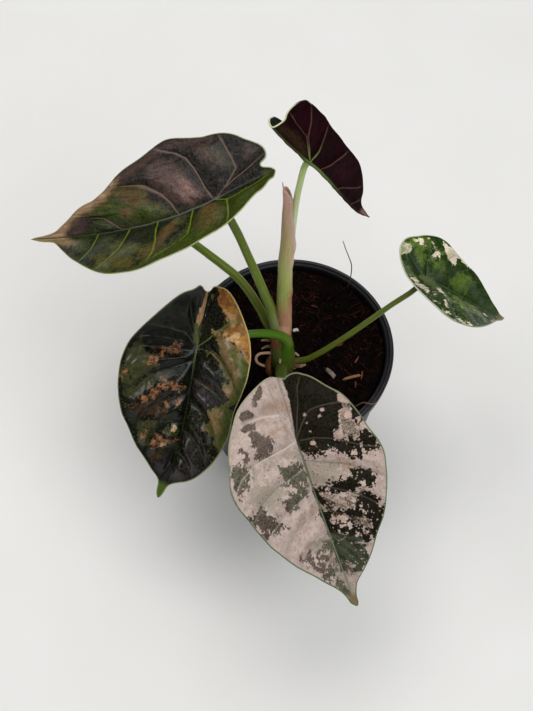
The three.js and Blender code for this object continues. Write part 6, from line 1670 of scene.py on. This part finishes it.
LOOSE_LOOK = {
    "bark_chip_pale": ("bark", (136, 122, 112), (92, 78, 70)),
    "bark_chip_tan": ("bark", (150, 112, 78), (112, 76, 50)),
    "perlite_grain": ("perlite", (206, 200, 188), (170, 160, 148)),
}
for key, (middle, half, turn) in LOOSE.items():
    bm = bmesh.new()
    bmesh.ops.create_icosphere(bm, subdivisions=5, radius=1.0)
    slim = {"bark_chip_tan": (1.0, 0.7, 0.8), "perlite_grain": (0.85, 0.8, 0.8)}.get(key, (1.0, 1.0, 1.0))
    P = np.array([v.co[:] for v in bm.verts])
    F = [[v.index for v in f.verts] for f in bm.faces]
    bm.free()
    x, y, z = P.T
    k = 1 + 0.12 * np.sin(5 * x + 2 * y) + 0.1 * np.cos(4 * z - 3 * x)
    mm = np.max(np.abs(P), axis=1) ** -0.6
    P = P * (k * mm)[:, None] * np.array(half) * np.array(slim)
    nz = Noise3(len(key))
    P = P * (1 + 0.05 * nz(P * 1.0, 0.8) + 0.03 * nz(P, 0.35))[:, None]
    a = math.radians(turn)
    P = np.stack([P[:, 0] * math.cos(a) - P[:, 1] * math.sin(a), P[:, 0] * math.sin(a) + P[:, 1] * math.cos(a), P[:, 2]], 1) + np.array(middle)
    slot, c1, c2 = LOOSE_LOOK[key]
    settle(make_object(key, P, F, [chip_material(key, c1, c2)]), slot, key)


# ---- pot ----
def wall_out(z):
    return POT_BASE_RADIUS + (POT_TOP_RADIUS - POT_BASE_RADIUS) * z / (POT_HEIGHT - RIM_DEPTH)


def build_pot():
    band = POT_HEIGHT - RIM_DEPTH
    prof = [(0, 0), (20, 0), (POT_BASE_RADIUS - 1.6, 0), (POT_BASE_RADIUS - 1.1, 0.05), (POT_BASE_RADIUS - 0.55, 0.35), (POT_BASE_RADIUS - 0.15, 0.9), (POT_BASE_RADIUS, 1.5)]
    for z in np.linspace(6, band - 4, 22):
        prof.append((wall_out(z), z))
    prof += [(wall_out(band - 0.5), band - 0.5), (POT_TOP_RADIUS + 0.15, band + 0.05), (POT_RIM_RADIUS - 1.15, band + 0.35), (POT_RIM_RADIUS - 0.75, band + 0.65), (POT_RIM_RADIUS - 0.5, band + 1.2)]
    for z in np.linspace(band + 2.2, POT_HEIGHT - 2.2, 5):
        prof.append((POT_RIM_RADIUS - 0.5 + 0.5 * (z - band - 1.2) / (POT_HEIGHT - 1.4 - band - 1.2), z))
    R = POT_RIM_RADIUS
    H = POT_HEIGHT
    prof += [(R, H - 1.4), (R - 0.05, H - 0.95), (R - 0.25, H - 0.5), (R - 0.55, H - 0.2), (R - 0.9, H - 0.05), (R - 1.25, H), (R - 1.6, H - 0.07), (R - 1.9, H - 0.25),
             (R - 2.15, H - 0.6), (R - 2.4, H - 0.85), (R - 2.7, H - 0.8), (R - 3.0, H - 0.66), (R - 3.3, H - 0.78), (R - 3.6, H - 1.1), (R - 3.85, H - 1.8),
             (POT_TOP_RADIUS - POT_WALL, H - 2.6)]
    for z in np.linspace(H - 5, band, 3):
        prof.append((POT_TOP_RADIUS - POT_WALL, z))
    for z in np.linspace(band - 5, 6, 16):
        prof.append((wall_out(z) - POT_WALL, z))
    w = wall_out(POT_FLOOR) - POT_WALL
    prof += [(w, POT_FLOOR + 1.1), (w - 0.15, POT_FLOOR + 0.5), (w - 0.5, POT_FLOOR + 0.12), (w - 1.1, POT_FLOOR), (20, POT_FLOOR), (0, POT_FLOOR)]
    n = 192
    ang = 2 * np.pi * np.arange(n) / n
    V, faces = [], []
    idx = []
    for r, z in prof:
        if r == 0:
            idx.append(len(V))
            V.append((0, 0, z))
        else:
            idx.append(len(V))
            V.extend((r * math.cos(a), r * math.sin(a), z) for a in ang)
    for k in range(len(prof) - 1):
        a0, b0 = idx[k], idx[k + 1]
        for j in range(n):
            j1 = (j + 1) % n
            if prof[k][0] == 0:
                faces.append((a0, b0 + j1, b0 + j))
            elif prof[k + 1][0] == 0:
                faces.append((a0 + j, a0 + j1, b0))
            else:
                faces.append((a0 + j, a0 + j1, b0 + j1, b0 + j))
    m = Mat("mat_pot")
    pos = m.object_mm()
    sep = m.t.nodes.new("ShaderNodeSeparateXYZ")
    m.put(sep.inputs[0], pos)
    up = sep.outputs[2]
    n1, n2, n3 = m.noise(pos, 0.06, 3.0), m.noise(pos, 0.9, 4.0, 0.65), m.noise(m.scale_vec(pos, (0.3, 0.3, 3.0)), 1.0, 2.0)
    col = m.mix(n1, srgb(11, 12, 15), srgb(19, 20, 25))
    dust = m.mul(m.smooth(n2, 0.55, 0.75), m.smooth(up, 76, 88, 0.25, 0.7))
    col = m.mix(m.mul(dust, 0.7), col, srgb(52, 48, 47))
    crumb = m.mul(m.smooth(m.noise(pos, 1.6, 2.0, 0.5), 0.66, 0.70), m.smooth(up, 78, 84, 0.1, 0.8))
    col = m.mix(crumb, col, srgb(48, 30, 22))
    m.set(Base_Color=col, Roughness=m.add(m.madd(n2, 0.22, 0.30), m.mul(dust, 0.2)))
    h = m.add(m.mul(n3, 0.25), m.mul(n2, 0.4))
    m.set(Normal=m.bump(m.add(h, m.mul(crumb, 1.2)), 0.35, 0.12))
    m.bsdf.inputs["Specular IOR Level"].default_value = 0.32
    ob = make_object("pot", V, faces, [m.m], sharp=50)
    cut = bmesh.new()
    for i in range(HOLE_COUNT):
        a = 2 * math.pi * (i + 0.5) / HOLE_COUNT
        r = bmesh.ops.create_cone(cut, cap_ends=True, segments=48, radius1=HOLE_RADIUS * MM, radius2=HOLE_RADIUS * MM, depth=12 * MM)
        # turned, so that no corner of the cutter lies on an edge of the pot's floor
        bmesh.ops.rotate(cut, verts=r["verts"], cent=(0, 0, 0), matrix=Matrix.Rotation(a + 0.0613, 3, "Z"))
        bmesh.ops.translate(cut, verts=r["verts"], vec=(HOLE_CIRCLE * math.cos(a) * MM, HOLE_CIRCLE * math.sin(a) * MM, POT_FLOOR / 2 * MM))
    me = bpy.data.meshes.new("cut")
    cut.to_mesh(me)
    cut.free()
    tool = bpy.data.objects.new("cut", me)
    bpy.context.scene.collection.objects.link(tool)
    mod = ob.modifiers.new("holes", "BOOLEAN")
    mod.object, mod.operation, mod.solver = tool, "DIFFERENCE", "EXACT"
    bpy.context.view_layer.update()
    done = bpy.data.meshes.new_from_object(ob.evaluated_get(bpy.context.evaluated_depsgraph_get()))
    ob.modifiers.clear()
    ob.data = done
    bpy.data.objects.remove(tool)
    bpy.data.meshes.remove(me)
    ob.data.polygons.foreach_set("use_smooth", np.ones(len(ob.data.polygons), bool))
    ob.data.set_sharp_from_angle(angle=math.radians(40))
    settle(ob, "pot", "pot")


build_pot()


# ---- substrate: moist coir with chips and fibres ----
def soil_height(x, y):
    r = np.hypot(x, y)
    h = np.interp(r, [0, 5, 12, 20, 28, 35, 41, 45], [1.2, 1.2, 1.0, 1.0, 0.8, 0.6, 0.6, 0.8])
    add = 0
    for kx, ky, a, ph in SOIL_BUMPS:
        add = add + a * np.sin(x / kx * 2 + ph) * np.cos(y / ky * 2 + ph * 1.7)
    return SOIL_TOP + h + add * 0.55 * smoothstep(-r, -43, -37)


def build_substrate():
    rng = np.random.default_rng(20)
    nz = Noise3(9)
    n, rings = 240, 64
    ang = 2 * np.pi * np.arange(n) / n
    wall = lambda z: wall_out(z) - POT_WALL - GAP
    V = [np.array([[0, 0, 0.0]])]
    rr = 45.45 * (np.arange(1, rings + 1) / rings) ** 0.85
    for r in rr:
        V.append(np.stack([r * np.cos(ang), r * np.sin(ang), 0 * ang], 1))
    top = np.vstack(V)
    x, y = top[:, 0], top[:, 1]
    q = top.copy()
    z = soil_height(x, y) - 0.7 + 0.55 * nz(q, 3.0) + 0.35 * nz(q, 1.4) + 0.2 * nz(q, 0.7)
    edge = smoothstep(-np.hypot(x, y), -45.45, -44.7)
    top[:, 2] = z * edge + (SOIL_TOP - 1.4) * (1 - edge)
    low = []
    for zz, ins in ((80, 0.1), (60, 0.1), (30, 0.1), (POT_FLOOR + GAP + 2, 0.2), (POT_FLOOR + GAP, 1.4)):
        r = wall(zz) - ins
        low.append(np.stack([r * np.cos(ang), r * np.sin(ang), 0 * ang + zz], 1))
    P = np.vstack([top] + low + [np.array([[0, 0, POT_FLOOR + GAP]])])
    faces = [(0, 1 + j, 1 + (j + 1) % n) for j in range(n)]
    for k in range(rings - 1 + len(low)):
        a0, b0 = 1 + k * n, 1 + (k + 1) * n
        for j in range(n):
            j1 = (j + 1) % n
            faces.append((a0 + j, b0 + j, b0 + j1, a0 + j1))
    end, lastc = 1 + (rings - 1 + len(low)) * n, len(P) - 1
    faces += [(lastc, end + (j + 1) % n, end + j) for j in range(n)]
    tone = [np.full(len(P), 0.35)]
    parts, fl, base = [P], list(faces), len(P)
    # chips: short slivers with a five sided section, tapered at both ends
    def sliver(c, yaw, pitch, length, wid, thick, twist, bend, t, sections=4, sides=5):
        nonlocal base
        us = np.linspace(-1, 1, sections)
        a = 2 * np.pi * np.arange(sides) / sides
        rows = []
        for i, u in enumerate(us):
            k = math.sqrt(max(1 - abs(u) ** 3, 0.0)) * 0.8 + 0.2
            ca = a + twist * u
            jit = 1 + 0.22 * (rng.random(sides) - 0.5)
            py, pz = np.cos(ca) * wid * k * jit, np.sin(ca) * thick * k * jit
            rows.append(np.stack([np.full(sides, u * length), py + bend * u * u * length, pz + 0.3 * bend * u * length], 1))
        p = np.vstack(rows + [np.array([[-length * 1.12, bend * length, 0], [length * 1.12, bend * length, 0]])])
        cy, sy, cp, sp = math.cos(yaw), math.sin(yaw), math.cos(pitch), math.sin(pitch)
        p = np.stack([p[:, 0] * cp - p[:, 2] * sp, p[:, 1], p[:, 0] * sp + p[:, 2] * cp], 1)
        p = np.stack([p[:, 0] * cy - p[:, 1] * sy, p[:, 0] * sy + p[:, 1] * cy, p[:, 2]], 1) + c
        r = np.hypot(p[:, 0], p[:, 1])
        lim = np.where(p[:, 2] > SOIL_TOP - 2, 45.7, 45.2)
        f = np.minimum(1, lim / np.maximum(r, 1e-6))
        p[:, 0] *= f
        p[:, 1] *= f
        parts.append(p)
        tone.append(np.full(len(p), t))
        for i in range(sections - 1):
            for j in range(sides):
                j1 = (j + 1) % sides
                fl.append((base + i * sides + j, base + (i + 1) * sides + j, base + (i + 1) * sides + j1, base + i * sides + j1))
        e0, e1 = base + sections * sides, base + sections * sides + 1
        for j in range(sides):
            j1 = (j + 1) % sides
            fl.append((e0, base + j, base + j1))
            fl.append((e1, base + (sections - 1) * sides + j1, base + (sections - 1) * sides + j))
        base += len(p)

    for i in range(2300):
        r, a = 45.2 * math.sqrt(rng.random()), rng.random() * 2 * math.pi
        x, y = r * math.cos(a), r * math.sin(a)
        L = 0.5 + 1.5 * rng.random() ** 2
        z = float(soil_height(np.array(x), np.array(y))) + rng.normal() * 0.25 - 0.5
        sliver(np.array([x, y, z]), rng.random() * math.pi, rng.normal() * 0.35, L, 0.28 + 0.4 * rng.random() ** 1.5, 0.16 + 0.22 * rng.random(), rng.normal() * 0.3, rng.normal() * 0.12, rng.random() ** 1.6)
    for i in range(1150):
        r, a = 44.8 * math.sqrt(rng.random()), rng.random() * 2 * math.pi
        x, y = r * math.cos(a), r * math.sin(a)
        L = 1.2 + 2.8 * rng.random() ** 1.4
        z = float(soil_height(np.array(x), np.array(y))) + abs(rng.normal()) * 0.3 - 0.15
        sliver(np.array([x, y, z]), rng.random() * math.pi, rng.normal() * 0.12, L, 0.13 + 0.12 * rng.random(), 0.13, 0.0, rng.normal() * 0.16, 0.25 + 0.9 * rng.random() ** 1.8, sections=6, sides=4)
    # a few larger tan slivers, as seen right of the stem
    for x, y, yaw, L, t in ((24.4, 2.2, 0.5, 1.6, 1.6), (32.0, -6.2, 1.0, 2.0, 1.7), (34.2, -14.0, 1.4, 2.4, 1.6), (31.0, -19.0, 1.5, 1.8, 1.5), (-24.0, -2.0, 0.8, 1.8, 1.3), (12.0, 24.0, -0.4, 2.0, 1.2), (-16.0, 22.0, 0.4, 1.8, 1.2), (20.0, -24.0, 0.2, 2.2, 1.4)):
        z = float(soil_height(np.array(x), np.array(y))) + 0.15
        sliver(np.array([x, y, z]), yaw, 0.05, L, 0.42, 0.25, 0.1, 0.06, t, sections=7, sides=8)
    P = np.vstack(parts)
    m = Mat("mat_substrate")
    pos = m.object_mm()
    n1, n2, n3 = m.noise(pos, 0.12, 3.0), m.noise(pos, 0.8, 4.0, 0.65), m.noise(pos, 3.0, 3.0, 0.65)
    t = m.attr("tone")
    f = m.add(m.mul(t, 0.62), m.add(m.madd(n2, 0.5, -0.25), m.madd(n1, 0.5, -0.25)))
    col = m.ramp(m.mul(f, 0.54), [(0.0, srgb(4, 2, 2)), (0.16, srgb(13, 5, 4)), (0.28, srgb(34, 14, 10)), (0.40, srgb(70, 36, 26)), (0.58, srgb(112, 68, 48)), (0.75, srgb(146, 108, 78)), (1.0, srgb(176, 138, 104))])
    col = m.mix(1.0, col, m.line(n3, 0.3, 0.7, 0.75, 1.2), "MULTIPLY")
    m.set(Base_Color=col, Roughness=m.madd(n2, 0.3, 0.68), Normal=m.bump(m.add(n3, m.mul(n2, 0.6)), 0.7, 0.35))
    m.bsdf.inputs["Specular IOR Level"].default_value = 0.05
    ob = make_object("substrate", P, fl, [m.m], None, {"tone": np.concatenate(tone)})
    settle(ob, "substrate", "substrate")


build_substrate()

# ---- plain pale floor ----
bm = bmesh.new()
bmesh.ops.create_grid(bm, x_segments=2, y_segments=2, size=4.0)
me = bpy.data.meshes.new("floor")
bm.to_mesh(me)
bm.free()
floor = bpy.data.objects.new("floor", me)
floor.location = (0, 0, -0.0003)
bpy.context.scene.collection.objects.link(floor)
fm = Mat("mat_floor")
fpos = fm.object_mm()
fn = fm.noise(fpos, 0.02, 3.0)
fm.set(Base_Color=fm.mix(fn, srgb(226, 225, 222), srgb(231, 230, 228)), Roughness=fm.madd(fn, 0.1, 0.78))
fm.bsdf.inputs["Specular IOR Level"].default_value = 0.15
me.materials.append(fm.m)

# ---- light ----
scene = bpy.context.scene
world = bpy.data.worlds.new("studio")
scene.world = world
world.use_nodes = True
world.node_tree.nodes["Background"].inputs[0].default_value = (0.93, 0.96, 1.0, 1)
world.node_tree.nodes["Background"].inputs[1].default_value = 0.15


def softbox(name, azimuth, elevation, distance, w, h, share, colour=(1, 1, 1)):
    """share: the light it gives a white matte face that looks at it, where 1 shows as white."""
    a, e = math.radians(azimuth), math.radians(elevation)
    d = Vector((math.sin(a) * math.cos(e), -math.cos(a) * math.cos(e), math.sin(e)))
    light = bpy.data.lights.new(name, "AREA")
    light.shape, light.size, light.size_y = "RECTANGLE", w, h
    light.energy = share * math.pi ** 2 * distance ** 2
    light.color = colour
    ob = bpy.data.objects.new(name, light)
    ob.location = Vector((0, 0, 0.13)) + d * distance
    ob.rotation_mode = "QUATERNION"
    ob.rotation_quaternion = d.to_track_quat("Z", "Y")
    scene.collection.objects.link(ob)
    return ob


softbox("key", -155, 72, 1.6, 1.2, 0.9, 0.52, (1.0, 0.985, 0.96))
softbox("front", 42, 56, 1.7, 1.2, 0.9, 0.57, (0.985, 0.99, 1.0))
softbox("left", -86, 40, 1.6, 0.36, 0.36, 0.17, (1.0, 1.0, 1.0))
softbox("back", 178, 34, 1.6, 1.1, 0.6, 0.14, (0.95, 0.97, 1.0))

# ---- camera of the photograph ----
cam = bpy.data.objects.new("camera", bpy.data.cameras.new("camera"))
cam.data.lens = 55.70
cam.data.sensor_width = 36.0
cam.data.sensor_fit = "AUTO"
cam.data.clip_start, cam.data.clip_end = 0.01, 50
cam.location = (-0.0117, -0.2484, 0.5591)
cam.rotation_euler = (math.radians(27.3), 0, 0)
scene.collection.objects.link(cam)
scene.camera = cam
scene.view_settings.view_transform = "Standard"
